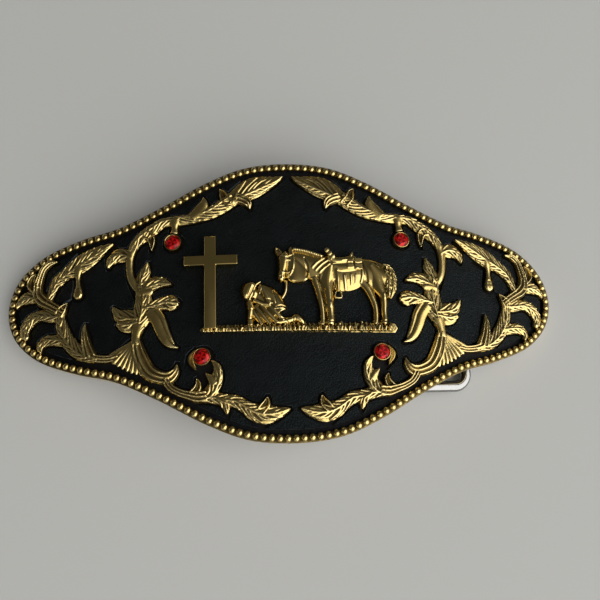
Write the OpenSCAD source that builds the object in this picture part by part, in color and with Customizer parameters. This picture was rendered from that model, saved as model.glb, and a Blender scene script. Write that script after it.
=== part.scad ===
// Western show buckle: an arched plate with a beaded edge, leather inlay, scrolls, stones and a figure scene.
// Face up, +X to the right end, +Y to the top edge, lowest points of the plate on z = 0.

/* [Plate] */
// Length of the plate from tip to tip
plate_l = 134; // [100:1:170]
// Height of the plate across the middle
plate_w = 66.8; // [50:0.2:90]
// Thickness of the cast plate
plate_t = 2.8; // [2:0.1:4]
// Radius of the arch at the back of the plate
arch_r = 226; // [150:1:400]

/* [Beaded edge] */
// Diameter of one bead
bead_d = 1.52; // [1:0.02:2.4]
// Distance between neighbouring bead centres
bead_pitch = 1.77; // [1.3:0.01:3]
// Height of the rail that carries the beads
rail_h = 0.8; // [0.4:0.1:1.6]

/* [Leather] */
// Thickness of the leather inlay
leather_t = 1.0; // [0.6:0.1:2]
// Open band between the bead rail and the leather
edge_band = 1.3; // [0.5:0.1:3]
// Open gap between the leather and the ornament in its windows
window_gap = 0.7; // [0.3:0.05:1.2]

/* [Scrolls] */
// How far the broad part of a scroll stands over the leather
scroll_rise = 0.35; // [0.1:0.05:1]
// How far the ridge of a scroll stands over its broad part
ridge_rise = 0.4; // [0.1:0.05:1]
// Width of the ridge as a share of the leaf width
ridge_share = 0.55; // [0.3:0.05:0.8]

/* [Stones] */
// Diameter of a stone across its girdle
stone_d = 3.6; // [2.4:0.1:5]
// Wall of the setting round a stone
setting_wall = 0.25; // [0.2:0.05:0.6]
// Height of a setting over the plate
setting_h = 1.75; // [1.2:0.05:3]
// Depth of the seat below the rim of the setting
seat_depth = 0.55; // [0.3:0.05:1]

/* [Scene] */
// Height of the lower layer of the scene over the leather
scene_low = 1.6; // [0.8:0.1:3]
// Height of the upper layer of the scene over its lower layer
scene_high = 1.1; // [0.4:0.1:2]
// Diameter of the rivets that hold the scene
rivet_d = 1.8; // [1:0.1:3]
// Diameter of the rivet heads on the back
rivet_head_d = 3.4; // [2:0.1:6]
// Thickness of the rivet heads
rivet_head_t = 0.6; // [0.3:0.1:1.5]

/* [Bail] */
// Diameter of the bail wire
wire_d = 2.8; // [2:0.1:4]
// Widest belt that passes through the bail
belt_w = 38; // [30:1:50]
// Free play of the belt across the bail
belt_play = 1.4; // [0.5:0.1:4]
// Distance from the hinge to the outer bar
bail_reach = 21; // [14:0.5:32]
// Distance from the middle of the plate to the hinge
hinge_x = 23; // [15:0.5:32]
// Bend of the wire at its corners, on the middle line
bend_r = 3.4; // [2.5:0.1:6]

/* [Barrel] */
// Wall of the hinge barrel
barrel_wall = 1.2; // [0.8:0.1:2]
// Running clearance of the wire in the barrel, on the radius
hinge_play = 0.08; // [0.04:0.01:0.1]
// Room between the barrel and the back of the plate
barrel_room = 0.9; // [0.4:0.1:3]
// How deep each wire end reaches into the barrel
pin_depth = 9; // [5:0.5:14]

/* [Prong] */
// Distance from the middle of the plate to the prong
prong_x = 32; // [20:0.5:42]
// Lean of the prong towards the bail
prong_lean = 10; // [0:1:20]
// Diameter of the prong
prong_d = 3.8; // [2.5:0.1:5]
// Length of the prong under the plate
prong_l = 6.6; // [4:0.1:8]
// Diameter of the foot that joins the prong to the plate
prong_foot_d = 7.5; // [5:0.1:10]
// Thickness of the foot along the prong
prong_foot_t = 0.8; // [0.4:0.1:2]

/* [Hidden] */
$fn = 48;
arch_fn = 720;
half_l = plate_l/2;
half_w = plate_w/2;
// The ornament is drawn for this plate and follows other sizes
drawn_l = 134;
drawn_w = 66.8;
stretch_x = plate_l/drawn_l;
stretch_y = plate_w/drawn_w;
stretch = min(stretch_x, stretch_y);
// Arch axis along Y, placed so that the tips of the plate stand on z = 0
axis_z = -sqrt(arch_r*arch_r - half_l*half_l);
face_r = arch_r + plate_t;
rail_r = face_r + rail_h;
leather_r = face_r + leather_t;
broad_r = leather_r + scroll_rise;
ridge_r = broad_r + ridge_rise;
low_r = leather_r + scene_low;
high_r = low_r + scene_high;
rail_w = bead_d + 0.1;
leather_in = rail_w + edge_band;
fit_gap = 0.05;
least_strip = 0.6;
casting_fillet = 0.12;
bore_r = wire_d/2 + hinge_play;
barrel_r = bore_r + barrel_wall;
hinge_z = axis_z + sqrt(arch_r*arch_r - hinge_x*hinge_x) - barrel_room - barrel_r;
setting_r = stone_d/2 + setting_wall;
wire_r = wire_d/2;
end_room = 0.5;
bar_half = (belt_w + belt_play)/2 + wire_r - bend_r;
barrel_l = 2*(bar_half - end_room);
floor_gap = 0.2;
bail_droop = asin((hinge_z - wire_r - floor_gap)/bail_reach);
tall = 60;
wide = 140;

// Quarter of the outline as shares of half length and half height
quarter = [[0, 1], [0.155, 0.968], [0.3, 0.852], [0.455, 0.685], [0.6, 0.552],
           [0.735, 0.484], [0.875, 0.378], [0.968, 0.21]];
outline_n = len(quarter);
outline_keys = concat(
    [for (i = [0:outline_n - 1]) [quarter[i][0]*half_l, quarter[i][1]*half_w]],
    [[half_l, 0]],
    [for (i = [outline_n - 1:-1:1]) [quarter[i][0]*half_l, -quarter[i][1]*half_w]],
    [for (i = [0:outline_n - 1]) [-quarter[i][0]*half_l, -quarter[i][1]*half_w]],
    [[-half_l, 0]],
    [for (i = [outline_n - 1:-1:1]) [-quarter[i][0]*half_l, quarter[i][1]*half_w]]);

function blend(a, b, c, d, t) = 0.5*(2*b + (c - a)*t + (2*a - 5*b + 4*c - d)*t*t + (3*b - a - 3*c + d)*t*t*t);
function unit(v) = v/norm(v);

// Smooth closed curve through the keys
function ring_curve(k, steps) = [for (i = [0:len(k) - 1]) for (s = [0:steps - 1])
    blend(k[(i + len(k) - 1)%len(k)], k[i], k[(i + 1)%len(k)], k[(i + 2)%len(k)], s/steps)];
// Smooth open curve through the keys
function open_curve(k, steps) = concat([for (i = [0:len(k) - 2]) for (s = [0:steps - 1])
    blend(k[max(i - 1, 0)], k[i], k[i + 1], k[min(i + 2, len(k) - 1)], s/steps)], [k[len(k) - 1]]);
// Closed curve moved inward by d, the curve runs clockwise
function ring_inset(c, d) = [for (i = [0:len(c) - 1])
    let (v = unit(c[(i + 1)%len(c)] - c[(i + len(c) - 1)%len(c)])) c[i] + d*[v[1], -v[0]]];
// Direction of an open curve at a point
function heading(c, i) = let (a = c[max(i - 1, 0)], b = c[min(i + 1, len(c) - 1)])
    unit([b[0] - a[0], b[1] - a[1]]);
// Point moved to a fine grid, so that upright edges are exactly upright
function on_grid(p) = [for (v = p) round(v/grid)*grid];
// One side of a leaf, at the given share of its width
function leaf_side(c, share, side) = [for (i = [0:len(c) - 1]) let (h = heading(c, i))
    on_grid([c[i][0], c[i][1]] + side*c[i][2]*share*[-h[1], h[0]])];
function reversed(c) = [for (i = [len(c) - 1:-1:0]) c[i]];
function leaf_ring(c, share) = concat(leaf_side(c, share, 1), reversed(leaf_side(c, share, -1)));

grid = 0.01;
leaf_steps = 2;
outline_steps = 6;
outline = ring_curve(outline_keys, outline_steps);

// Place or leaf key as drawn, moved with the plate
function placed(k) = [k[0]*stretch_x, k[1]*stretch_y, k[2]*stretch];
function spot(p) = [p[0]*stretch_x, p[1]*stretch_y];

// A leaf from keys of x, y and half width
module leaf(keys, share = 1) {
    c = open_curve(keys, leaf_steps);
    polygon(leaf_ring(c, share));
}

// A leaf that follows the size of the plate
module plate_leaf(keys, share = 1) {
    leaf([for (k = keys) placed(k)], share);
}

// One clean outline from overlapping shapes
module merged(fillet = 0) {
    offset(delta = -fillet)
        offset(delta = fillet)
            children();
}

// Right-hand scroll as leaves of x, y and half width
scroll_y = -0.2;
scroll_leaves = [
    [[1.1, 29.8, 0.06], [3, 28.9, 0.9], [5.5, 28.1, 1.8], [8, 27.2, 2.4], [10.5, 26, 2.2], [13, 24.4, 1.7],
     [16, 22.3, 1.45], [19, 20.6, 1.2], [22.5, 19.6, 0.95], [25, 19.3, 0.95], [27.2, 19.2, 1.1]],
    [[26, 19.2, 0.9], [29.5, 18.9, 0.95], [32, 17.4, 1.25], [34.3, 15.8, 1.2], [36, 14.1, 1],
     [37.2, 12, 0.85], [37.5, 9, 0.65], [37.2, 6.2, 0.6], [36.4, 4.2, 0.8], [35.2, 2.4, 1.2]],
    [[37.2, 10.3, 0.7], [38.4, 11.1, 1.3], [40, 11.4, 1.55], [41.3, 10.8, 1.2], [42.2, 9.7, 0.75],
     [42.5, 8.4, 0.1]],
    [[27, 19.2, 1.1], [26.95, 17.4, 0.9], [27.1, 14.6, 0.85]],
    [[13.6, 22.6, 1], [15.1, 24.4, 1], [15.6, 25.8, 0.65], [16.3, 26.8, 0.08]],
    [[12.2, 25, 1], [10.4, 24, 1], [9.5, 22.9, 0.7], [9.1, 21.5, 0.06]],
    [[22.9, 19.7, 1], [21.1, 21.3, 1.25], [20, 23.1, 0.85], [20.2, 25, 0.06]],
    [[34.3, 16.1, 1], [32.8, 15.6, 0.9], [32.3, 14, 0.5], [32.35, 12, 0.06]],
    [[34.7, 4.6, 1.3], [34.1, 1.6, 1.6], [34, -1, 1.7], [34.3, -3.6, 2.1], [35, -6, 1.6], [35.4, -8.2, 0.8],
     [35.4, -10.2, 1]],
    [[35, 3.2, 1.3], [34.1, 5.8, 1.15], [33.5, 7.5, 0.75], [33.15, 9.1, 0.06]],
    [[35, 2.6, 1.3], [32.6, 3.6, 1.45], [30.6, 4.2, 1], [29, 4.05, 0.6], [27.6, 3.5, 0.06]],
    [[34, -2, 1.4], [31, -1.2, 1.05], [29, -0.8, 1.3], [27.2, -0.9, 1.4], [26.1, -1.3, 0.9]],
    [[32.6, -2.6, 1.5], [30.4, -4.6, 1.35], [29.4, -7.2, 1.3], [28.4, -9.4, 1], [27.3, -10.7, 0.6],
     [25.8, -11.4, 0.06]],
    [[35, -4.1, 1.7], [37.5, -3.9, 1.7], [39.6, -3, 1.15], [41, -1.2, 0.08]],
    [[35, -5.4, 1.3], [37.4, -5.9, 1.2], [38.9, -5.6, 0.75], [39.9, -5.2, 0.1]],
    [[35.4, -9.2, 0.9], [34.4, -13, 1.5], [32.4, -16.4, 1.5], [29.7, -17.8, 1.3], [27.6, -17.9, 1.3],
     [26.3, -16.7, 0.75], [26, -15, 0.06]],
    [[35.4, -9.4, 0.9], [36, -12.6, 1.7], [36.1, -15.2, 1.2], [36.2, -16.6, 0.2]],
    [[35.6, -9.4, 0.9], [37.6, -12, 1.5], [39, -13.8, 1.1], [39.8, -14.8, 0.2]],
    [[35.5, -9.4, 0.9], [36.9, -12.4, 1.4], [37.6, -14.6, 1], [38, -15.8, 0.2]],
    [[35.8, -9.6, 0.8], [38.4, -12, 1.1], [40.2, -13.2, 0.9], [41.2, -14, 0.2]],
    [[35.4, -9.6, 0.9], [35.1, -13.2, 1.3], [34.5, -16, 1], [34.1, -17.3, 0.2]],
    [[28.6, -18.3, 0.8], [27.3, -20.2, 0.7], [25.5, -21.3, 0.6], [23.5, -22, 0.8], [21.4, -22.5, 1.1],
     [19.4, -22.3, 1.1]],
    [[22.6, -21.9, 0.6], [21.4, -20.7, 0.55], [21.2, -19.6, 0.4], [21.6, -18.5, 0.06]],
    [[21.2, -22.9, 0.8], [19.1, -22.1, 1.25], [17.8, -20.5, 1.25], [17.1, -18.6, 1.15], [16.9, -16.8, 0.8],
     [17.3, -15.5, 0.4], [18.1, -14.7, 0.1]],
    [[17.5, -19.9, 0.6], [18.4, -18.6, 0.5], [19.65, -17.3, 0.06]],
    [[20.6, -22.9, 0.7], [18, -22.8, 1.05], [15.5, -23.4, 1.15], [13, -23.8, 1.2], [11, -25, 1.2],
     [9, -26.2, 1.65], [6.5, -26.8, 1.9], [4, -26.6, 1.2], [2.5, -26.2, 0.65], [1.2, -25.85, 0.06]],
    [[7.4, -26, 0.8], [6.3, -24.6, 0.7], [6, -23, 0.06]],
    [[15.6, -23.6, 0.6], [15.1, -25.2, 0.5], [14.85, -26.5, 0.06]],
    [[36.4, -10.6, 0.9], [39, -12.3, 0.95], [41.5, -13.1, 0.7], [44, -12.9, 0.75], [47, -12, 1.25],
     [49.5, -10.4, 1.4], [51.6, -8, 1.45], [52.8, -5.5, 1.3], [53.4, -3, 0.9], [53.6, -1, 0.9]],
    [[46.6, -11.6, 0.9], [46.9, -9, 0.9], [47.4, -7, 0.75], [47.4, -5.6, 0.5], [47.3, -4.8, 0.15]],
    [[51.2, -8.4, 1.2], [54, -8, 1.05], [56.2, -7.9, 1.1], [57.7, -8.7, 0.9], [58, -9.8, 0.55],
     [57.5, -10.7, 0.1]],
    [[53.2, -2.2, 1.2], [56, -2.1, 1.25], [58.5, -1.8, 1.1], [60.8, -2.8, 1.3], [62, -4.6, 1.15],
     [62, -6.2, 0.85], [61.3, -7.2, 0.4]],
    [[53.9, -2.2, 0.9], [53, -0.8, 0.8], [51.9, 0.65, 0.06]],
    [[41.5, 14.3, 0.06], [43.3, 13.6, 0.7], [45.5, 12.4, 1.5], [48, 10.9, 1.95], [50.5, 9.3, 1.9],
     [52.8, 7.8, 1.3], [54.8, 6.2, 1.25], [55.8, 4.2, 0.85], [56.6, 2.4, 0.9], [57.6, 1.2, 1]],
    [[49.7, 9.4, 1.2], [49.8, 6.5, 0.65], [49.5, 4.4, 0.9], [49.5, 2.6, 1.15]],
    [[49.2, 8.4, 0.5], [47.6, 8.3, 0.5], [46.5, 8.8, 0.2]],
    [[55.1, 11.1, 0.12], [57, 10.8, 0.6], [58.5, 9.4, 0.7], [59.2, 7.2, 0.8], [59.6, 5.2, 1],
     [59.4, 3.3, 1.2], [58.3, 1.8, 1.3], [56.4, 0.6, 1], [54.4, -0.6, 0.9], [53, -1.6, 0.8]],
    [[59.8, 4.4, 1], [61.2, 5.9, 1.1], [61.1, 7.4, 0.65], [60.3, 8.5, 0.08]],
    [[58.8, 2.5, 1], [61.2, 2.9, 1.3], [63, 2.4, 1.1], [64.2, 1.4, 0.5], [64.4, 0.4, 0.08]]
];
// Blunt rounded ends of x, y and radius
scroll_knobs = [[49.5, 2.5, 1.2], [26.7, -1.2, 1.15], [61.5, -6.9, 0.7]];

module scroll_plan(share = 1) {
    intersection() {
        translate([0, scroll_y]) {
            for (k = scroll_leaves)
                plate_leaf(k, share);
            for (k = scroll_knobs)
                translate(spot(k))
                    circle(r = k[2]*stretch*share, $fn = 20);
        }
        polygon(ring_inset(outline, rail_w + fit_gap));
    }
}

// Places of the stones on the right half
stone_upper = spot([27.2, 13.55]);
stone_lower = spot([20.3, -13.85]);
// Small leaf beside the lower stone
side_leaf = [[21.9, -12.4, 0.3], [22.8, -13.8, 0.75], [22.75, -15, 0.7], [22.2, -16, 0.4],
             [21.8, -16.8, 0.06]];

// Scene in plan, keys of x, y and half width; read off at the height of its upper layer
scene_pos = [-0.2, -0.8];
scene_scale = 0.978*stretch;
strip_points = [[-21.3, -7.3], [-20.2, -6.3], [24.6, -6.6], [25.3, -7.8], [24.6, -8.9], [-19.8, -8.4]];
cross_post = [-20, -17.3, 14.95];
cross_arm = [-24.8, -12.25, 7.9, 10.26];
horse_leaves = [
    [[0.9, 10.6, 1.3], [-0.3, 8.8, 1.9], [-1.1, 6.4, 1.8], [-1.8, 4.6, 1.15], [-2.1, 3.7, 0.7]],
    [[-0.4, 7.6, 1.9], [1.6, 6.2, 2.6], [3.6, 5.2, 1.7]],
    [[-1.4, 10, 0.8], [-2.4, 11, 0.75], [-3.1, 11.9, 0.3]],
    [[1.2, 9.2, 2.5], [4, 8.1, 2.9], [7, 6.5, 3.5], [9, 5.4, 4]],
    [[8, 5.3, 4.1], [11, 5.2, 4.1], [14, 5.1, 4.1], [17, 5.5, 3.9], [20, 5.3, 3.6], [23.4, 4.4, 2.6]],
    [[23, 6.6, 1], [24.5, 4.8, 0.9], [24.6, 2.4, 0.8], [24.3, 0.7, 0.35]]
];
horse_legs = [
    [[8.9, 4, 2], [9, 1, 1.15], [9.1, -1.8, 0.85], [9.2, -4.5, 0.7], [8.9, -7.2, 1]],
    [[21.2, 4.8, 2.4], [21.2, 2, 1.5], [21.9, -0.6, 0.95], [22.1, -3, 0.75], [21.9, -7.2, 0.8]]
];
horse_far_legs = [
    [[6.4, 3.6, 1.4], [7, 0.6, 0.7], [7.7, -2.4, 0.5], [7.7, -7.2, 0.65]],
    [[18.6, 3.6, 1.7], [19.8, 1, 0.95], [20.6, -1.6, 0.6], [20.5, -7.2, 0.6]]
];
saddle_points = [[9.2, 11.4], [8.6, 10.9], [8.9, 9.6], [9.8, 7.4], [10.6, 5], [10.7, 0.2], [10.5, -0.7],
                 [11.9, -0.7], [11.7, 0.2], [11.9, 3.4], [13.4, 4.6], [17.2, 4.8], [17.2, 8.6], [15.7, 9.2],
                 [15.4, 10.5], [14.8, 10.7], [14.2, 9.4], [12.5, 8.9], [10.9, 9.2], [10.5, 10.6],
                 [9.9, 11.3]];
figure_leaves = [
    [[-8.8, 1.5, 1.5], [-6.9, 1.2, 2], [-4.6, -0.6, 2.1], [-2.8, -3.2, 1.9]],
    [[-3.2, -3.8, 1.5], [-6, -3.2, 1.35], [-9.3, -2.5, 1.1]],
    [[-9.4, -1.8, 0.9], [-9.7, -4.4, 0.9], [-9.7, -7.2, 1]],
    [[-2.6, -3.6, 1.6], [-3.8, -5.2, 1.3], [-4.4, -7, 1]],
    [[-4.6, -5.9, 0.9], [-1, -5.7, 0.9], [1.4, -5.4, 0.9], [2.6, -5.9, 0.7]]
];
figure_head = [-9.4, 1.4, 1.6];
figure_arm = [[-6.4, 1.3, 0.9], [-5.5, -1.2, 0.8], [-6.6, -2, 0.7], [-8.8, -0.6, 0.6]];
rein_keys = [[-1, 4.2, 0.45], [-1, 1.8, 0.4], [-1.6, 0.4, 0.4], [-3.4, -1.6, 0.4]];
rivet_places = stretch*[[-18.4, 7.6], [-5.2, -1.8], [6.8, 4.6], [15.6, 5]];

module on_scene() {
    translate(scene_pos)
        scale(scene_scale)
            children();
}

module strip_plan() {
    on_scene()
        polygon(strip_points);
}

module leaves_plan(list, share = 1) {
    on_scene()
        for (k = list)
            leaf(k, share);
}

module horse_plan() {
    merged()
        difference() {
            leaves_plan(concat(horse_leaves, horse_legs, horse_far_legs));
            strip_plan();
        }
}

module figure_plan() {
    merged()
        difference() {
            union() {
                leaves_plan(figure_leaves);
                on_scene()
                    translate([figure_head[0], figure_head[1]])
                        circle(r = figure_head[2]);
            }
            strip_plan();
        }
}

module saddle_plan() {
    on_scene()
        polygon(saddle_points);
}

// Solid drum about the arch axis
module drum(r) {
    translate([0, 0, axis_z])
        rotate([90, 0, 0])
            cylinder(r = r, h = wide, center = true, $fn = arch_fn);
}

// Curved layer between two radii, cut to a plan
module layer(inner, outer) {
    intersection() {
        linear_extrude(tall)
            children();
        difference() {
            drum(outer);
            drum(inner);
        }
    }
}

// Stand children on the curved face at a plan point, z along the local normal
module on_face(p) {
    translate([0, 0, axis_z])
        rotate([0, asin(p[0]/face_r), 0])
            translate([0, p[1], face_r])
                children();
}

module rivet_posts(extra) {
    for (p = rivet_places)
        translate([p[0], p[1], 0])
            cylinder(r = rivet_d/2 + extra, h = tall);
}

gold = [0.8, 0.66, 0.35];
pale_gold = [0.85, 0.76, 0.5];
black = [0.06, 0.06, 0.06];
red = [0.7, 0.03, 0.05];
nickel = [0.8, 0.8, 0.8];

module base_plate() {
    color(pale_gold)
        difference() {
            layer(arch_r, face_r)
                polygon(outline);
            rivet_posts(fit_gap);
        }
}

// Bead centres at equal steps along the curved rail
bead_line = ring_inset(outline, rail_w/2);
function lifted(p) = [p[0], p[1], axis_z + sqrt(rail_r*rail_r - p[0]*p[0])];
bead_steps = [for (i = [0:len(bead_line) - 1])
    norm(lifted(bead_line[(i + 1)%len(bead_line)]) - lifted(bead_line[i]))];
function run_length(i) = i == 0 ? 0 : run_length(i - 1) + bead_steps[i - 1];
bead_runs = [for (i = [0:len(bead_line)]) run_length(i)];
bead_total = bead_runs[len(bead_line)];
bead_n = floor(bead_total/max(bead_pitch, bead_d + fit_gap));
function run_index(s) = max([for (i = [0:len(bead_line) - 1]) if (bead_runs[i] <= s) i]);
function along(s) = let (i = run_index(s), t = (s - bead_runs[i])/bead_steps[i])
    lifted(bead_line[i]*(1 - t) + bead_line[(i + 1)%len(bead_line)]*t);

module beaded_edge() {
    color(gold) {
        layer(face_r, rail_r)
            difference() {
                polygon(outline);
                polygon(ring_inset(outline, rail_w));
            }
        for (i = [0:bead_n - 1])
            translate(along((i + 0.5)*bead_total/bead_n))
                sphere(d = bead_d, $fn = 24);
    }
}

// Everything the leather leaves open on the right half
module window_plan() {
    offset(delta = window_gap) {
        scroll_plan();
        for (p = [stone_upper, stone_lower])
            translate(p)
                circle(r = setting_r);
        plate_leaf(side_leaf);
    }
}

// Sheet as a knife leaves it, with no thin slivers
module cut_sheet() {
    merged()
        intersection() {
            offset(delta = least_strip)
                offset(delta = -least_strip)
                    children();
            children();
        }
}

module leather_inlay() {
    color(black)
        difference() {
            layer(face_r, leather_r)
                cut_sheet()
                    difference() {
                        polygon(ring_inset(outline, leather_in));
                        window_plan();
                        mirror([1, 0])
                            window_plan();
                    }
            rivet_posts(fit_gap);
        }
}

// Round post that keeps a stone setting clear of the scroll
module setting_room(p) {
    on_face(p)
        translate([0, 0, -plate_t])
            cylinder(r = setting_r + fit_gap, h = setting_h + 2*plate_t);
}

module scroll_right() {
    color(gold)
        difference() {
            union() {
                layer(face_r, broad_r)
                    merged(casting_fillet)
                        scroll_plan();
                layer(broad_r, ridge_r)
                    merged(casting_fillet)
                        scroll_plan(ridge_share);
            }
            setting_room(stone_upper);
            setting_room(stone_lower);
        }
}

module scroll_left() {
    mirror([1, 0, 0])
        scroll_right();
}

// Cup for a stone; children are joined to it before the seat is cut
module setting(p) {
    difference() {
        union() {
            difference() {
                on_face(p)
                    translate([0, 0, -plate_t/2])
                        cylinder(r = setting_r, h = setting_h + plate_t/2);
                drum(face_r);
            }
            children();
        }
        on_face(p)
            translate([0, 0, setting_h - seat_depth])
                cylinder(r = stone_d/2, h = plate_t);
    }
}

module stone(p) {
    girdle = 0.45;
    crown = 0.5;
    table = 0.55;
    r = stone_d/2 - fit_gap;
    on_face(p)
        translate([0, 0, setting_h - seat_depth]) {
            cylinder(r = r, h = girdle);
            translate([0, 0, girdle])
                cylinder(r1 = r, r2 = table*r, h = crown);
        }
}

module stone_setting_upper_right() {
    color(gold)
        setting(stone_upper);
}

module stone_setting_upper_left() {
    mirror([1, 0, 0])
        stone_setting_upper_right();
}

module stone_setting_lower_right() {
    color(gold)
        setting(stone_lower)
            layer(face_r, broad_r)
                plate_leaf(side_leaf);
}

module stone_setting_lower_left() {
    mirror([1, 0, 0])
        stone_setting_lower_right();
}

module stone_upper_right() {
    color(red)
        stone(stone_upper);
}

module stone_upper_left() {
    mirror([1, 0, 0])
        stone_upper_right();
}

module stone_lower_right() {
    color(red)
        stone(stone_lower);
}

module stone_lower_left() {
    mirror([1, 0, 0])
        stone_lower_right();
}

module cross() {
    color(gold)
        layer(leather_r, high_r)
            difference() {
                on_scene() {
                    translate([cross_post[0], strip_points[0][1]])
                        square([cross_post[1] - cross_post[0], cross_post[2] - strip_points[0][1]]);
                    translate([cross_arm[0], cross_arm[2]])
                        square([cross_arm[1] - cross_arm[0], cross_arm[3] - cross_arm[2]]);
                }
                strip_plan();
            }
}

module ground_strip() {
    color(gold)
        layer(leather_r, low_r)
            strip_plan();
}

module horse() {
    color(gold) {
        layer(leather_r, low_r)
            horse_plan();
        layer(low_r, high_r)
            merged()
                difference() {
                    leaves_plan(concat(horse_leaves, horse_legs), ridge_share);
                    saddle_plan();
                    strip_plan();
                }
    }
}

module saddle() {
    color(gold)
        layer(low_r, high_r)
            saddle_plan();
}

module kneeling_figure() {
    color(gold) {
        layer(leather_r, low_r)
            figure_plan();
        layer(low_r, high_r)
            merged()
                difference() {
                    union() {
                        leaves_plan(concat(figure_leaves, [figure_arm]), ridge_share);
                        on_scene()
                            translate([figure_head[0], figure_head[1]])
                                circle(r = figure_head[2]*ridge_share);
                    }
                    strip_plan();
                }
    }
}

module reins() {
    color(gold)
        layer(leather_r, low_r)
            merged()
                difference() {
                    on_scene()
                        leaf(rein_keys);
                    horse_plan();
                    figure_plan();
                }
}

module scene_rivets() {
    color(nickel) {
        intersection() {
            rivet_posts(0);
            difference() {
                drum(leather_r);
                drum(arch_r - rivet_head_t);
            }
        }
        layer(arch_r - rivet_head_t, arch_r)
            for (p = rivet_places)
                translate(p)
                    circle(d = rivet_head_d);
    }
}

module hinge_barrel() {
    pad_w = 1.6*barrel_r;
    color(nickel)
        difference() {
            union() {
                translate([hinge_x, 0, hinge_z])
                    rotate([90, 0, 0])
                        cylinder(r = barrel_r, h = barrel_l, center = true);
                intersection() {
                    translate([hinge_x - pad_w/2, -barrel_l/2, hinge_z])
                        cube([pad_w, barrel_l, tall]);
                    drum(arch_r);
                }
            }
            translate([hinge_x, 0, hinge_z])
                rotate([90, 0, 0])
                    cylinder(r = bore_r, h = barrel_l + 1, center = true);
        }
}

// Bail in its own plane: hinge along Y through the origin, arms along X
pin_in = barrel_l/2 - pin_depth;

module wire_bend() {
    rotate_extrude(angle = 90)
        translate([bend_r, 0])
            circle(r = wire_r);
}

module bail_half() {
    translate([0, pin_in, 0])
        rotate([-90, 0, 0])
            cylinder(r = wire_r, h = bar_half - pin_in);
    translate([bend_r, bar_half, 0])
        rotate([0, 0, 90])
            wire_bend();
    translate([bend_r, bar_half + bend_r, 0])
        rotate([0, 90, 0])
            cylinder(r = wire_r, h = bail_reach - 2*bend_r);
    translate([bail_reach - bend_r, bar_half, 0])
        wire_bend();
}

module belt_bail() {
    color(nickel)
        translate([hinge_x, 0, hinge_z])
            rotate([0, bail_droop, 0]) {
                bail_half();
                mirror([0, 1, 0])
                    bail_half();
                translate([bail_reach, 0, 0])
                    rotate([90, 0, 0])
                        cylinder(r = wire_r, h = 2*bar_half, center = true);
            }
}

module prong() {
    prong_z = axis_z + sqrt(arch_r*arch_r - prong_x*prong_x);
    shaft = prong_l - prong_d/2;
    color(nickel) {
        intersection() {
            translate([-prong_x, 0, prong_z])
                rotate([0, 180 - prong_lean, 0])
                    translate([0, 0, -plate_t]) {
                        cylinder(d = prong_d, h = shaft + plate_t);
                        cylinder(d = prong_foot_d, h = prong_foot_t + plate_t);
                    }
            drum(arch_r);
        }
        translate([-prong_x, 0, prong_z])
            rotate([0, 180 - prong_lean, 0])
                translate([0, 0, shaft])
                    sphere(d = prong_d);
    }
}

base_plate();
beaded_edge();
leather_inlay();
scroll_left();
scroll_right();
stone_setting_upper_left();
stone_setting_upper_right();
stone_setting_lower_left();
stone_setting_lower_right();
stone_upper_left();
stone_upper_right();
stone_lower_left();
stone_lower_right();
cross();
ground_strip();
horse();
saddle();
kneeling_figure();
reins();
scene_rivets();
hinge_barrel();
belt_bail();
prong();
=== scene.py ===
"""Western show buckle: cast gold ornament, black leather, red stones and nickel fittings round its frame."""

import math
from itertools import accumulate

import bmesh
import bpy
from bpy.props import FloatProperty, FloatVectorProperty, IntProperty, PointerProperty
from mathutils import Matrix, Vector


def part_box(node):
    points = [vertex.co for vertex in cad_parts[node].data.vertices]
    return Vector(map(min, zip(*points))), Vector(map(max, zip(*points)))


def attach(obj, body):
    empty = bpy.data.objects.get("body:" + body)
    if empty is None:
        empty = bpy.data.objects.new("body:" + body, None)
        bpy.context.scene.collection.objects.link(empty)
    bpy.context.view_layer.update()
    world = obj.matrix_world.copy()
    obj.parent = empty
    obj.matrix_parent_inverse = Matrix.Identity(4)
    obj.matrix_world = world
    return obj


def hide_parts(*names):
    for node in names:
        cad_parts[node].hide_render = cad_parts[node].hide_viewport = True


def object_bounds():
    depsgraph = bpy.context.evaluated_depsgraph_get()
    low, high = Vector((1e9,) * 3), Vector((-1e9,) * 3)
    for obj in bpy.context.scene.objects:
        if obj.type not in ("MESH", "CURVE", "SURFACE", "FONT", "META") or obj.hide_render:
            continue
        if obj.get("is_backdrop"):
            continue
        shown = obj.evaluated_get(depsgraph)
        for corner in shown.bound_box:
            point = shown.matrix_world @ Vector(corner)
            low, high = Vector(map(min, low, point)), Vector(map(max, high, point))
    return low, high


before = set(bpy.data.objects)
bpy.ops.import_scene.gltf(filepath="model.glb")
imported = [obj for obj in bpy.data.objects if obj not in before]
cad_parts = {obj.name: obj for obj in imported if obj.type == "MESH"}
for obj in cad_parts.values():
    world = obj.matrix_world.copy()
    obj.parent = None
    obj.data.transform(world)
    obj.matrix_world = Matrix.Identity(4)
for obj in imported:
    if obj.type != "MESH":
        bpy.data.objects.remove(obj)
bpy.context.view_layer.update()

bl_info = {
    "name": "Western show buckle",
    "version": (1, 0, 0),
    "blender": (4, 5, 0),
    "location": "View3D > Sidebar > Buckle",
    "description": "Builds the visible pieces of an arched show buckle round its frame",
    "category": "Add Mesh",
}

# The plate, in metres. It is bent to an arch whose axis lies under it, along y.
MM = 0.001
PLATE_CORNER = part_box("base_plate")[1]
HALF_L = PLATE_CORNER.x
HALF_W = PLATE_CORNER.y
ARCH_R = 0.226
AXIS_Z = -math.sqrt(ARCH_R**2 - HALF_L**2)
FACE_R = PLATE_CORNER.z - AXIS_Z
ROOT = "buckle"
BAIL = "bail"

# Every other shape is drawn flat in millimetres, with its height over the face of the plate, and then bent.
LEATHER_TOP = 1.0
SADDLE_FOOT = 2.0
SCENE_TOP = 3.7
SCENE_POS = (-0.2, -0.8)
SCENE_SCALE = 0.978
SCENE_GRAIN = 0.1

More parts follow.
